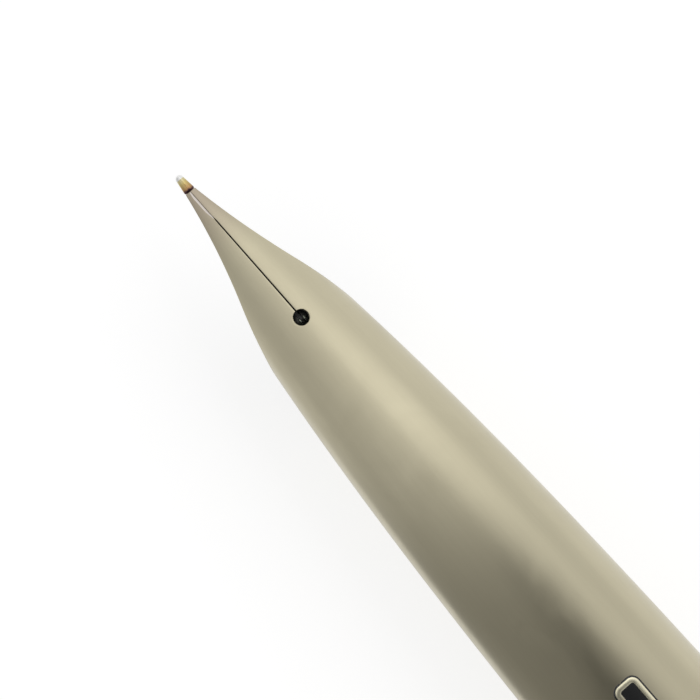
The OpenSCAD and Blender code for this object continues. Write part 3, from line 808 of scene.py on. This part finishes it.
def thread_tree():
    """A round ridge or wire wound along X, for screw threads and coil springs."""
    tree, given = geometry_tree(
        "screw_thread", {"Front": 0.0, "Length": 0.004, "Radius": 0.004, "Pitch": 0.0007, "Ridge": 0.0003}
    )
    rounds = math_node(tree, "DIVIDE", given["Length"], given["Pitch"])
    spiral = output_of(tree, "GeometryNodeCurveSpiral", resolution=40, rotations=rounds,
                       height=given["Length"], start_radius=given["Radius"], end_radius=given["Radius"])
    steady = output_of(tree, "GeometryNodeSetCurveNormal", mode="Z_UP", curve=spiral)
    ridge = output_of(tree, "GeometryNodeCurvePrimitiveCircle", resolution=10, radius=given["Ridge"])
    swept = output_of(tree, "GeometryNodeCurveToMesh", fill_caps=True, curve=steady, profile_curve=ridge)
    return finish_tree(tree, laid_along_x(tree, swept, given["Front"]), given)


def discs_tree():
    """Thin discs in a row along X, such as the feed's fins."""
    tree, given = geometry_tree("disc_row", {
        "Front": 0.0, "Pitch": 0.0009, "Front radius": 0.003, "Rear radius": 0.0034, "Thickness": 0.0004,
    }, 7)
    step, start = (output_of(tree, "ShaderNodeCombineXYZ", x=given[label]) for label in ("Pitch", "Front"))
    row = output_of(tree, "GeometryNodeMeshLine", mode="OFFSET", count=given["Count"], start_location=start,
                    offset=step)
    disc = output_of(tree, "GeometryNodeMeshCylinder", vertices=72, radius=1.0, depth=given["Thickness"])
    index = tree.nodes.new("GeometryNodeInputIndex").outputs[0]
    share = math_node(tree, "DIVIDE", index, math_node(tree, "SUBTRACT", given["Count"], 1.0))
    size = mapped(tree, share, to_min=given["Front radius"], to_max=given["Rear radius"])
    scale = output_of(tree, "ShaderNodeCombineXYZ", x=size, y=size, z=1.0)
    discs = output_of(tree, "GeometryNodeInstanceOnPoints", points=row, instance=disc, rotation=QUARTER_TURN,
                      scale=scale)
    return finish_tree(tree, discs, given)


def ribs_tree():
    """Round bars set evenly about the X axis, such as the grip ribs of a knob."""
    sizes = {"Middle": 0.0, "Length": 0.007, "Radius": 0.0034, "Rib": 0.0002}
    tree, given = geometry_tree("rib_ring", sizes, 24)
    circle = output_of(tree, "GeometryNodeMeshCircle", vertices=given["Count"], radius=given["Radius"])
    bar = output_of(tree, "GeometryNodeMeshCylinder", vertices=12, radius=given["Rib"], depth=given["Length"])
    bars = output_of(tree, "GeometryNodeInstanceOnPoints", points=circle, instance=bar)
    real = output_of(tree, "GeometryNodeRealizeInstances", geometry=bars)
    return finish_tree(tree, laid_along_x(tree, real, given["Middle"]), given)


def grown(tree, **values):
    """The points and faces that a geometry tree gives for these inputs, in millimetres from the tip."""
    carrier = in_scene("carrier", bpy.data.meshes.new("carrier"))
    modifier = carrier.modifiers.new("tree", "NODES")
    modifier.node_group = tree
    sockets = {item.name: item.identifier for item in tree.interface.items_tree if item.in_out == "INPUT"}
    for key, value in values.items():
        modifier[sockets[key.replace("_", " ")]] = value
    evaluated = carrier.evaluated_get(bpy.context.evaluated_depsgraph_get())
    mesh = bpy.data.meshes.new_from_object(evaluated)
    points = [(from_tip(v.co.x), v.co.y / MM, v.co.z / MM) for v in mesh.vertices]
    faces = [list(f.vertices) for f in mesh.polygons]
    bpy.data.objects.remove(carrier)
    bpy.data.meshes.remove(mesh)
    return points, faces


SCREW_THREAD = thread_tree()
DISC_ROW = discs_tree()
RIB_RING = ribs_tree()


def lathe(profile, turns=144):
    """Points and faces of a closed profile of (radius, distance from the tip) turned about the axis."""
    points, faces, rows = [], [], []
    for r, s in profile:
        if r < 1e-6:
            rows.append([len(points)] * turns)
            points.append((s, 0.0, 0.0))
        else:
            rows.append(list(range(len(points), len(points) + turns)))
            points += [on_axis(s, r, a) for a in turn_steps(turns)]
    for a, b in zip(rows, rows[1:] + rows[:1]):
        if len(set(a)) == 1 and len(set(b)) == 1:
            continue
        for i in range(turns):
            j = (i + 1) % turns
            face = [a[i], a[j], b[j], b[i]]
            faces.append([v for k, v in enumerate(face) if v != face[k - 1]])
    return points, faces


def eased_edges(profile, radius=0.08, steps=4):
    """The profile with each corner that is off the axis rounded, and held by a close row on both sides."""
    out = []
    for k, here in enumerate(profile):
        before, after = profile[k - 1], profile[(k + 1) % len(profile)]
        corner = Vector(here)
        a, b = Vector(before) - corner, Vector(after) - corner
        if here[0] < 1e-6 or a.angle(b) > math.radians(165):
            out.append(here)
            continue
        toward_a, toward_b = a.normalized(), b.normalized()
        cut = min(radius, a.length * 0.3, b.length * 0.3)
        from_a, to_b = corner + toward_a * cut, corner + toward_b * cut
        curve = [(1 - u) ** 2 * from_a + 2 * u * (1 - u) * corner + u * u * to_b for u in even(0, 1, steps)]
        for spot in [corner + toward_a * cut * 1.5] + curve + [corner + toward_b * cut * 1.5]:
            out.append((spot.x, spot.y))
    return out


slots = {part["node"]: part["material_slot"] for part in frame["record"]["subparts"]}
bodies = {node: body for body, held in frame["record"]["behaviour"]["bodies"].items() for node in held}


def extent(node):
    """Front, rear and outside radius of a turned node, in millimetres."""
    low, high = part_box(node)
    return from_tip(low.x), from_tip(high.x), (high.z - low.z) / 2 / MM


def stand_for(node, name, points, faces, crease=35.0):
    piece = finished(name, points, faces, FINISHES[slots[node]], bodies[node], crease, merge=False)
    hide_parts(node)
    return piece


def turned_piece(node, name, profile, radius=0.08, turns=144, more=()):
    """A turned piece with eased edges that stands for a node; more adds parts such as a thread."""
    return stand_for(node, name, *joined(lathe(eased_edges(profile, radius), turns), *more))


def plain_ring(node, name, bore_r, radius):
    """A ring of the node's size with both outer edges bevelled."""
    front, rear, outer_r = extent(node)
    turned_piece(node, name, [
        (bore_r, front), (outer_r - edge_cut, front), (outer_r, front + edge_cut),
        (outer_r, rear - edge_cut), (outer_r - edge_cut, rear), (bore_r, rear),
    ], radius)


def plain_tube(node, name, bore_r, radius, more=()):
    front, rear, outer_r = extent(node)
    profile = [(bore_r, front), (outer_r, front), (outer_r, rear), (bore_r, rear)]
    turned_piece(node, name, profile, radius, more=more)


def thread(front, rear, crest_r, pitch, ridge, slot):
    """Points and faces of a screw thread whose crest has this radius."""
    return grown(SCREW_THREAD, Front=at_tip(front + ridge), Length=(rear - front - 2 * ridge) * MM,
                 Radius=(crest_r - ridge) * MM, Pitch=pitch * MM, Ridge=ridge * MM, Material=FINISHES[slot])


def build_feed():
    stations = even(feed_nose_at, feed_nose_at + 0.5, 6)[:-1] + even(feed_nose_at + 0.5, 9.6, 20)[:-1]
    stations += even(9.6, 12.8, 40)[:-1] + even(12.8, feed_keel_at, 14)
    tongue = loft([tongue_loop(s) for s in stations])
    nipple_r, nipple_rear, bore_r, bore_front = 1.1, feed_rear + 6, 0.55, feed_rear - 4
    core = lathe(eased_edges([
        (0, fins_at), (feed_r, fins_at), (feed_r, feed_rear), (nipple_r, feed_rear), (nipple_r, nipple_rear),
        (bore_r, nipple_rear), (bore_r, bore_front), (0, bore_front),
    ]), 96)
    first, last = (shell_in_r(s) - fin_gap for s in (fins_at, fins_at + fin_pitch * (fin_count - 1)))
    fins = grown(DISC_ROW, Front=at_tip(fins_at + fin_t / 2), Pitch=fin_pitch * MM, Thickness=fin_t * MM,
                 Front_radius=first * MM, Rear_radius=last * MM, Count=fin_count,
                 Material=FINISHES["feed_plastic"])
    stand_for("feed", "feed_body", *joined(tongue, core, fins))


def build_ink_glints():
    """Two beads of drying ink at the rear of the well, either side of the channel; their pale colour is a
    painted glint.
    """
    points, faces = [], []
    s, high, sunk, around = hole_at + 0.1, 0.16, 0.02, 16
    rings = even(0, math.pi / 2, 5)[:-1]
    for y, long, wide in ((0.19, 0.19, 0.09), (-0.14, 0.17, 0.085)):
        z = math.sqrt((shell_in_r(s) - tongue_gap) ** 2 - y * y) - well(s) - sunk
        start = len(points)
        for lift in rings:
            reach, over, up = long * math.cos(lift), wide * math.cos(lift), z + high * math.sin(lift)
            points += [(s + reach * math.cos(a), y + over * math.sin(a), up) for a in turn_steps(around)]
        points.append((s, y, z + high))
        faces += [cell(around, row, i, start) for row in range(len(rings) - 1) for i in range(around)]
        top = start + (len(rings) - 1) * around
        faces += [[top + i, top + (i + 1) % around, len(points) - 1] for i in range(around)]
        faces.append([start + i for i in reversed(range(around))])
    ink = finished("ink_glint_beads", points, faces, INK_PAINTED_GLINT, "section", crease=60.0, merge=False)


build_feed()
build_ink_glints()

# ---- Grip's core, rings and barrel ----

seat_gap = 0.03
run_gap = 0.05
edge_cut = 0.12
stub_r = section_r - 0.65
thread_pitch = 0.75
thread_ridge = 0.22
seal_groove = section_len + 3


def build_grip_core():
    front, rear, _ = extent("section_liner")
    root_r = stub_r - 0.3
    converter_room_r = 3.65
    bush_r = feed_r + seat_gap
    seal_root_r, seal_len = stub_r - 0.65, 0.8
    outside = [(shell_in_r(s) - seat_gap, s) for s in even(front, section_len, 16)]
    profile = [(bush_r, front)] + outside + [
        (stub_r, section_len), (stub_r, section_len + 1.3), (root_r, section_len + 1.5),
        (root_r, seal_groove - 0.3), (stub_r, seal_groove - 0.1), (stub_r, seal_groove),
        (seal_root_r, seal_groove),
        (seal_root_r, seal_groove + seal_len), (stub_r, seal_groove + seal_len), (stub_r, seal_groove + 0.9),
        (root_r, seal_groove + 1.1), (root_r, rear - 0.4), (root_r - 0.25, rear), (converter_room_r, rear),
        (converter_room_r, feed_rear + 0.1), (bush_r, feed_rear + 0.1),
    ]
    run = thread(seal_groove + 1.2, rear - 0.25, stub_r, thread_pitch, thread_ridge, "black_plastic")
    start = thread(section_len + 1.5, seal_groove - 0.2, stub_r, thread_pitch, thread_ridge, "black_plastic")
    turned_piece("section_liner", "grip_core", profile, 0.05, more=[run, start])


def build_grip_rings():
    plain_ring("section_ring", "grip_ring", stub_r + seat_gap, 0.06)
    front, rear, outer_r = extent("section_seal")
    middle, cord_r = (front + rear) / 2, (rear - front) / 2
    cord = [(outer_r - cord_r + cord_r * math.cos(a), middle + cord_r * math.sin(a)) for a in turn_steps(24)]
    turned_piece("section_seal", "thread_seal", cord, 0.0)
    plain_ring("barrel_ring", "barrel_collar", stub_r + run_gap, 0.05)


def build_barrel():
    barrel_wall, straight_len = 0.4, 28.0
    front, plug_at, barrel_r = extent("barrel_tube")
    tail_r = extent("tail_plug")[2]
    taper_at = front + straight_len
    outside = [(barrel_r, s) for s in even(front + 0.6, taper_at, 12)]
    slim, taper_len = barrel_r - tail_r, plug_at - taper_at
    outside += [(barrel_r - slim * u, taper_at + taper_len * u) for u in even(0.04, 1, 24)]
    inside = [(r - barrel_wall, s) for r, s in reversed(outside[11:])]
    profile = [(barrel_r - barrel_wall, front), (barrel_r - edge_cut, front), (barrel_r, front + edge_cut)]
    turned_piece("barrel_tube", "barrel_shell", profile + outside + inside, 0.06)

    bush_front, bush_rear, _ = extent("barrel_bush")
    bore_r = stub_r + run_gap + 0.25
    run = thread(bush_front + 0.4, bush_rear - 0.4, bore_r + 0.2, thread_pitch, 0.2, "brass")
    plain_tube("barrel_bush", "barrel_threads", bore_r, 0.06, more=[run])

    plug_front, plug_rear, head_r = extent("tail_plug")
    spigot_r, edge = head_r - barrel_wall - seat_gap, 1.5
    quarter = even(0, math.pi / 2, 18)
    dome = [(head_r - edge + edge * math.cos(a), plug_rear - edge + edge * math.sin(a)) for a in quarter]
    turned_piece("tail_plug", "barrel_tail", [
        (0, plug_front), (spigot_r - 0.24, plug_front), (spigot_r, plug_front + 0.48), (spigot_r, plug_at),
        (head_r - edge_cut, plug_at), (head_r, plug_at + edge_cut),
    ] + dome + [(0, plug_rear)], 0.05)


# ---- Converter ----


def build_converter():
    front, rear, outer_r = extent("converter_mouth")
    tube_front, tube_rear, tube_r = extent("converter_tube")
    tube_wall, nipple_bore, way_r = 0.6, 1.13, 0.66
    bore_r = tube_r - tube_wall
    turned_piece("converter_mouth", "converter_collar", [
        (nipple_bore, front), (outer_r - 0.2, front), (outer_r, front + 0.2), (outer_r, front + 1.6),
        (outer_r - 0.15, front + 1.75), (outer_r - 0.15, front + 2.05), (outer_r, front + 2.2),
        (outer_r, tube_front),
        (bore_r - seat_gap, tube_front), (bore_r - seat_gap, rear), (way_r, rear), (way_r, tube_front - 0.2),
        (nipple_bore, tube_front - 0.2),
    ], 0.05)
    plain_tube("converter_tube", "converter_barrel", bore_r, 0.08)
    front, rear, outer_r = extent("converter_sleeve")
    hub_bore = bore_r + 0.1
    turned_piece("converter_sleeve", "converter_jacket", [
        (tube_r + seat_gap, front), (outer_r - 0.15, front), (outer_r, front + 0.3), (outer_r, front + 1.4),
        (outer_r - 0.1, front + 1.5), (outer_r - 0.1, front + 1.8), (outer_r, front + 1.9), (outer_r, rear),
        (hub_bore, rear), (hub_bore, tube_rear), (tube_r + seat_gap, tube_rear),
    ], 0.05)

    front, rear, outer_r = extent("converter_knob")
    rib, ribs = 0.22, 36
    base_r = outer_r - 1.4 * rib
    screw_front, screw_rear, screw_r = extent("piston_screw")
    socket_r, socket_rear = screw_r + 0.1, screw_rear + 0.5
    grip = grown(RIB_RING, Middle=at_tip((front + rear) / 2 - 0.2), Length=(rear - front - 2.8) * MM,
                 Radius=(outer_r - rib) * MM, Rib=rib * MM, Count=ribs, Material=FINISHES["black_plastic"])
    turned_piece("converter_knob", "filler_knob", [
        (socket_r, front), (outer_r - 0.3, front), (outer_r, front + 0.35), (outer_r, front + 0.9),
        (base_r, front + 1.05), (base_r, rear - 1.5), (outer_r, rear - 1.35), (outer_r, rear - 1),
        (outer_r - 0.25, rear - 0.4), (outer_r - 0.8, rear), (0, rear), (0, socket_rear),
        (socket_r, socket_rear),
    ], 0.08, more=[grip])

    run = thread(screw_front + 2.6, screw_rear - 0.2, screw_r, 0.8, 0.16, "bright_steel")
    root_r = screw_r - 0.2
    turned_piece("piston_screw", "piston_rod", [
        (0, screw_front), (screw_r, screw_front), (screw_r, screw_front + 2.4), (root_r, screw_front + 2.6),
        (root_r, screw_rear), (0, screw_rear),
    ], 0.04, 64, more=[run])

    front, rear, lip_r = extent("piston_seal")
    waist_r, socket_r, socket_front = lip_r - 0.35, screw_r + seat_gap, (front + rear) / 2 - seat_gap
    turned_piece("piston_seal", "piston_cup", [
        (0, front), (lip_r - 0.5, front), (lip_r, front + 0.5), (lip_r, front + 1.1), (waist_r, front + 1.5),
        (waist_r, rear - 1.5), (lip_r, rear - 1.1), (lip_r, rear - 0.3), (lip_r - 0.3, rear),
        (socket_r, rear), (socket_r, socket_front), (0, socket_front),
    ], 0.12, 96)


# ---- Cap ----

cap_front, cap_lip_rear, cap_r = extent("cap_lip")
cap_tube_front, cap_tube_rear, cap_tube_r = extent("cap_tube")
cap_wall = 0.4
clip_w, clip_end_w, clip_t, clip_gap = 4.0, 3.0, 0.7, 1.9
tongue_t, tongue_w = 1.6, 2.4
blade_h = cap_tube_r + clip_gap
clip_top = blade_h + clip_t
clip_front, clip_rear, _ = extent("clip")
pivot_at = clip_rear - tongue_t / 2
clip_turn = math.atan2(clip_w / 2, clip_top) + math.acos(cap_tube_r / math.hypot(clip_w / 2, clip_top))
clip_angle = clip_turn - math.pi


def at_clip(s, side, height):
    """Point beside the clip's middle plane and above the pen's axis, out through the clip."""
    across, up = math.sin(-clip_angle), math.cos(-clip_angle)
    return (s, side * up - height * across, side * across + height * up)


def build_cap_shell():
    """The cap's tube, with the window that the clip's tongue comes out of."""
    half_window = tongue_w / 2 + 0.2
    window_front, window_rear = pivot_at - tongue_t - 0.1, pivot_at + tongue_t + 0.1
    cut = edge_cut * 0.5
    rows = [cap_tube_front + d for d in (0, cut, cut * 3)] + even(cap_tube_front + 1, window_front, 24)
    first_open = len(rows) - 1
    rows += even(window_front, window_rear, 6)[1:]
    last_open = len(rows) - 1
    rows += [window_rear + 0.4, cap_tube_rear - cut * 3, cap_tube_rear - cut, cap_tube_rear]
    around, across = 160, 10

    def ring_of(s, r):
        edge = math.asin(half_window / r)
        angles = even(-edge, edge, across)[:-1] + even(edge, 2 * math.pi - edge, around)[:-1]
        return [on_axis(s, r, clip_angle + a) for a in angles]

    def outer_r(s):
        return cap_tube_r - cut * max(0.0, 1 - min(s - cap_tube_front, cap_tube_rear - s) / cut)

    count = around + across
    points = [p for s in rows for p in ring_of(s, outer_r(s))]
    inner_at = len(points)
    points += [p for s in rows for p in ring_of(s, cap_tube_r - cap_wall)]
    faces = []
    for row in range(len(rows) - 1):
        for i in range(across if first_open <= row < last_open else 0, count):
            outer = cell(count, row, i)
            faces += [outer, [inner_at + v for v in reversed(outer)]]
    last = (len(rows) - 1) * count
    for i in range(count):
        j = (i + 1) % count
        faces.append([i, inner_at + i, inner_at + j, j])
        faces.append([last + i, last + j, inner_at + last + j, inner_at + last + i])
    rims = [(row * count + i, row * count + i + 1) for i in range(across) for row in (first_open, last_open)]
    for row in range(first_open, last_open):
        rims += [(row * count + i, (row + 1) * count + i) for i in (0, across)]
    faces += [[a, b, inner_at + b, inner_at + a] for a, b in rims]
    stand_for("cap_tube", "cap_shell", points, faces, crease=30.0)


def build_cap_rings():
    lip_bore_r, roll_r = 5.55, 0.4
    roll = [(cap_r - roll_r + roll_r * math.sin(a), cap_front + roll_r + roll_r * math.cos(a))
            for a in even(math.pi, math.pi / 2, 14)]
    turned_piece("cap_lip", "cap_mouth", [(lip_bore_r, cap_front)] + roll + [
        (cap_r, cap_lip_rear - edge_cut), (cap_r - edge_cut, cap_lip_rear), (lip_bore_r, cap_lip_rear),
    ], 0.06)

    front, rear, outer_r = extent("cap_liner")
    liner_wall, floor_t = 0.65, 1.0
    bore_r = outer_r - liner_wall
    turned_piece("cap_liner", "inner_cap", [
        (bore_r + 0.3, front), (outer_r, front), (outer_r, rear), (0, rear), (0, rear - floor_t),
        (bore_r - floor_t, rear - floor_t), (bore_r, rear - 2 * floor_t), (bore_r, front + floor_t),
    ], 0.15)

    boss_bore, boss_depth = 3.63, 0.75
    plain_tube("crown_ring", "crown_spacer", boss_bore, 0.05)

    front, rear, outer_r = extent("crown_cap")
    bevel, dish_r = 0.7, outer_r - 2.2
    dish = [(dish_r * math.cos(a), rear - 0.06 - 0.19 * math.sin(a)) for a in even(0, math.pi / 2, 12)]
    turned_piece("crown_cap", "crown", [
        (boss_bore, front), (outer_r - 0.1, front), (outer_r, front + 0.15), (outer_r, rear - bevel),
        (outer_r - bevel * 0.35, rear - bevel * 0.3), (outer_r - bevel, rear), (dish_r + 0.12, rear),
    ] + dish + [(0, rear - boss_depth), (boss_bore, rear - boss_depth)], 0.1)


# ---- Clip ----

pivot_h = 4.3
spring_h = pivot_h - 2.5
coil_r = 0.62
wire_r = 0.14
bar_edge = 0.14
bead_r = 1.0
bead_at = clip_front + 2.2
bead_h = cap_tube_r + 0.15 + bead_r
blade_dip = blade_h - bead_h - bead_r * 0.35


def blade_under(s):
    """Height of the blade's underside: level, then dipping to the bead, then kicked up at the free end."""
    sunk = blade_dip * blend(0, 1, (bead_at + 9 - s) / 9)
    return blade_h - sunk + 0.32 * max(0.0, (bead_at - s) / 2.2) ** 2


def blade_half(s):
    end_r = clip_end_w / 2
    share = (s - clip_front - end_r) / (clip_rear - clip_front - end_r)
    half = end_r + (clip_w / 2 - end_r) * min(1.0, max(0.0, share))
    if s < clip_front + end_r:
        half = math.sqrt(max(end_r**2 - (clip_front + end_r - s) ** 2, 0.0016))
    return half


def bar_loop(under, top, half, edge, camber):
    """Rounded rectangle between two (distance, height) spots, half as wide as asked, with a domed top."""
    under, top = Vector(under), Vector(top)
    thick = (top - under).length
    edge = min(edge, thick * 0.45, half * 0.45)
    ring = []
    for sx, sy, start in ((1, 1, 0), (-1, 1, math.pi / 2), (-1, 0, math.pi), (1, 0, 3 * math.pi / 2)):
        for a in even(start, start + math.pi / 2, 5):
            side = sx * (half - edge) + edge * math.cos(a)
            level = (thick - edge if sy else edge) + edge * math.sin(a)
            ring.append((side, level - (camber * (side / half) ** 2 if sy else 0.0)))
        if sx == 1 and sy == 1:
            ring += [(x, thick - camber * (x / half) ** 2) for x in even(half - edge, edge - half, 8)[1:-1]]
    spots = [(side, under + (top - under) * (level / thick)) for side, level in ring]
    return [at_clip(spot.x, side, spot.y) for side, spot in spots]


def build_clip():
    bend_r, inner_bend, camber = 1.2, 0.6, 0.1
    bend_at, inner_at = clip_rear - bend_r, clip_rear - tongue_t - inner_bend
    foot_h = spring_h - coil_r - wire_r
    loops = []
    end_r = clip_end_w / 2
    nose = [clip_front + end_r - end_r * math.cos(a) for a in even(0.02, math.pi / 2, 12)]
    for s in nose + even(nose[-1] + 0.4, clip_rear - inner_bend - tongue_t - 0.1, 44):
        low = blade_under(s)
        thick = clip_t * (0.55 + 0.45 * min(1.0, (s - clip_front) / 0.8) ** 0.5)
        loops.append(bar_loop((s, low), (s, low + thick), blade_half(s), bar_edge, camber))
    for turn in even(math.pi / 2, 0, 10)[1:]:
        back, rise = math.cos(turn), math.sin(turn)
        top = (bend_at + bend_r * back, clip_top - bend_r + bend_r * rise)
        under = (inner_at + inner_bend * back, blade_h - inner_bend + inner_bend * rise)
        loops.append(bar_loop(under, top, clip_w / 2, bar_edge, camber * rise))
    shoulder_h = cap_tube_r + 0.6
    neck = even(blade_h - 0.75, shoulder_h, 4) + even(shoulder_h - 0.08, shoulder_h - 0.5, 6)
    for h in neck + even(shoulder_h - 0.6, foot_h + 0.25, 10) + [foot_h + 0.08, foot_h]:
        half = tongue_w / 2 + (clip_w - tongue_w) / 2 * blend(0, 1, (h - shoulder_h + 0.45) / 0.5)
        pull = 0.2 * max(0.0, 1 - (h - foot_h) / 0.25)
        under, top = (clip_rear - tongue_t + pull, h), (clip_rear - pull, h)
        loops.append(bar_loop(under, top, half - pull, bar_edge, 0.0))
    stand_for("clip", "clip_blade", *loft(loops), crease=50.0)

    rivet_r, seat = 0.45, blade_h - blade_dip
    top = seat + clip_t
    start = math.acos((seat - seat_gap - bead_h) / bead_r)
    ball = [(bead_r * math.sin(a), bead_h + bead_r * math.cos(a)) for a in even(math.pi, start, 30)]
    head = [(rivet_r * math.cos(a), top - 0.05 + 0.08 * math.sin(a)) for a in even(0, math.pi / 2, 8)]
    profile = [(0.0, ball[0][1])] + ball[1:] + [(rivet_r, seat - seat_gap)] + head[:-1] + [(0.0, head[-1][1])]
    points, faces = lathe(profile, 72)
    points = [at_clip(bead_at + z, y, h) for h, y, z in points]
    stand_for("clip_bead", "clip_ball", points, faces, crease=40.0)


def build_spring():
    """The coil under the clip's foot, which the foot presses together as the clip lifts."""
    coil_turns = 4
    low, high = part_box("clip_spring")
    front, rear = from_tip(low.x), from_tip(high.x)
    long = rear - front - 2 * wire_r
    points, faces = grown(SCREW_THREAD, Front=at_tip(front + wire_r), Length=long * MM, Radius=coil_r * MM,
                          Pitch=long / coil_turns * MM, Ridge=wire_r * MM, Material=FINISHES["spring_steel"])
    points = [at_clip(s, y, z + spring_h) for s, y, z in points]
    spring = stand_for("clip_spring", "clip_coil", points, faces, crease=60.0)
    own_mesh(spring)


build_grip_core()
build_grip_rings()
build_barrel()
build_converter()
build_cap_shell()
build_cap_rings()
build_clip()
build_spring()

# ---- Floor, lights and camera ----


def seen_ray(tree):
    """1 for camera, glossy and transmission rays, 0 for the rest."""
    path = tree.nodes.new("ShaderNodeLightPath")
    seen = math_node(tree, "MAXIMUM", path.outputs["Is Camera Ray"], path.outputs["Is Glossy Ray"])
    return math_node(tree, "MAXIMUM", seen, path.outputs["Is Transmission Ray"])


def build_floor():
    """White card that still takes a shadow."""
    far, below, glow = 1500.0, 0.02, 0.74
    low = cad_low.z / MM - below
    corners = [(-far, -far, low), (far, -far, low), (far, far, low), (-far, far, low)]
    mesh = mesh_of("floor", corners, [[0, 1, 2, 3]])
    material, tree, shader = finish_base("white_card", (0.45, 0.45, 0.45), 0.0, 1.0)
    shader.inputs["Specular IOR Level"].default_value = 0.0
    shader.inputs["Emission Color"].default_value = (1, 1, 1, 1)
    link(tree, times(tree, seen_ray(tree), glow), shader.inputs["Emission Strength"])
    mesh.materials.append(material)
    in_scene("floor", mesh)


def light_world():
    world = bpy.data.worlds.new("studio")
    bpy.context.scene.world = world
    world.use_nodes = True
    tree = world.node_tree
    back = tree.nodes["Background"]
    back.inputs["Color"].default_value = (1, 1, 1, 1)
    link(tree, times_plus(tree, seen_ray(tree), 0.5, 0.5), back.inputs["Strength"])


def area_lamp(name, place, aim, width, height, power):
    data = bpy.data.lights.new(name, "AREA")
    data.shape = "RECTANGLE"
    data.size, data.size_y = width * MM, height * MM
    data.energy = power
    lamp = in_scene(name, data)
    lamp.location = Vector(place) * MM
    lamp.rotation_mode = "QUATERNION"
    lamp.rotation_quaternion = (Vector(aim) - Vector(place)).to_track_quat("-Z", "Y")


# Brightness of the tent over each part of the pen, by the angle in degrees from straight up towards +Y
TENT_OVER_NIB = [
    (-112, 0.80), (-92, 0.66), (-60, 0.64), (-30, 0.79), (-5, 0.94),
    (18, 1.16), (45, 1.0), (60, 0.95), (95, 1.02),
]
TENT_OVER_GRIP = [
    (-112, 0.36), (-92, 0.28), (-60, 0.24), (-35, 0.18), (-10, 0.08),
    (14, 0.07), (34, 0.36), (52, 0.74), (95, 0.86),
]
TENT_OVER_BARREL = [
    (-112, 0.55), (-92, 0.5), (-60, 0.42), (-35, 0.4), (-10, 0.6), (14, 0.9), (34, 1.0), (52, 0.9), (95, 0.8),
]


def along_keys(keys, at):
    """Eased value between given (place, value) pairs."""
    for (a, low), (b, high) in zip(keys, keys[1:]):
        if at <= b:
            return blend(low, high, (at - a) / (b - a))
    return keys[-1][1]


def tent_level(angle, x):
    """Brightness of the tent at an angle and a place along the pen, in millimetres of the row frame."""
    over_grip, over_barrel = blend(0, 1, (x + 50) / 20), blend(0, 1, x / 70)
    glow = 1 + 0.25 * max(0.0, 1 - ((x + 49) / 11) ** 2) if -75 < angle < 60 else 1.0
    front = along_keys(TENT_OVER_NIB, angle) * (1 - over_grip) + along_keys(TENT_OVER_GRIP, angle) * over_grip
    return glow * front * (1 - over_barrel) + along_keys(TENT_OVER_BARREL, angle) * over_barrel


def build_tent():
    """A half tunnel over the pen that only reflections see, with its brightness set place by place."""
    radius, floor_z, keep_off = 80.0, cad_low.z / MM - 0.01, 11.0
    outline = []
    for angle in even(95, -90, 60):
        turn = math.radians(angle)
        outline.append((angle, radius * math.sin(turn), radius * math.cos(turn)))
    outline += [(-92 - 20 * u, -radius + (radius - keep_off) * u, floor_z) for u in even(0, 1, 12)]
    places = even(-300, -60, 12)[:-1] + even(-60, -20, 40)[:-1] + even(-20, 420, 22)
    points = [(x, y, z) for x in places for a, y, z in outline]
    across = len(outline)
    faces = [cell(across, row, i) for row in range(len(places) - 1) for i in range(across - 1)]
    mesh = mesh_of("tent", points, faces)
    level = mesh.attributes.new("level", "FLOAT", "POINT")
    level.data.foreach_set("value", [tent_level(a, x) for x in places for a, y, z in outline])
    material, tree = new_material("tent_cloth")
    tree.nodes.clear()
    read = add(tree, "ShaderNodeAttribute", attribute_name="level")
    glow = add(tree, "ShaderNodeEmission", strength=read.outputs["Fac"])
    glow.inputs["Color"].default_value = (1, 1, 1, 1)
    add(tree, "ShaderNodeOutputMaterial", surface=glow.outputs["Emission"])
    mesh.materials.append(material)
    tent = in_scene("tent", mesh)
    tent.visible_camera = tent.visible_diffuse = tent.visible_transmission = tent.visible_shadow = False


def set_camera():
    """Looks down on the nib; the pen runs from the upper left to the lower right of the view."""
    distance, view_width, sensor = 300.0, 42.42, 36.0
    lean = math.radians(3.3)
    back = Vector((0, -math.sin(lean), math.cos(lean)))
    up = Vector((-0.7571, 0.6533, 0))
    up = (up - up.dot(back) * back).normalized()
    right = up.cross(back)
    target = Vector((TIP_X / MM + 14.79, 1.115, 0))
    data = bpy.data.cameras.new("view")
    data.sensor_width = sensor
    data.lens = sensor * distance / view_width
    data.clip_start, data.clip_end = 0.01, 10
    camera = in_scene("view", data)
    camera.location = (target + back * distance) * MM
    camera.rotation_mode = "QUATERNION"
    camera.rotation_quaternion = Matrix((right, up, back)).transposed().to_quaternion()
    bpy.context.scene.camera = camera


build_floor()
build_tent()
light_world()
area_lamp("key", place=(-40, 420, 560), aim=(-30, 0, 0), width=560, height=460, power=0.9)
set_camera()
bpy.context.scene.view_settings.view_transform = "Standard"
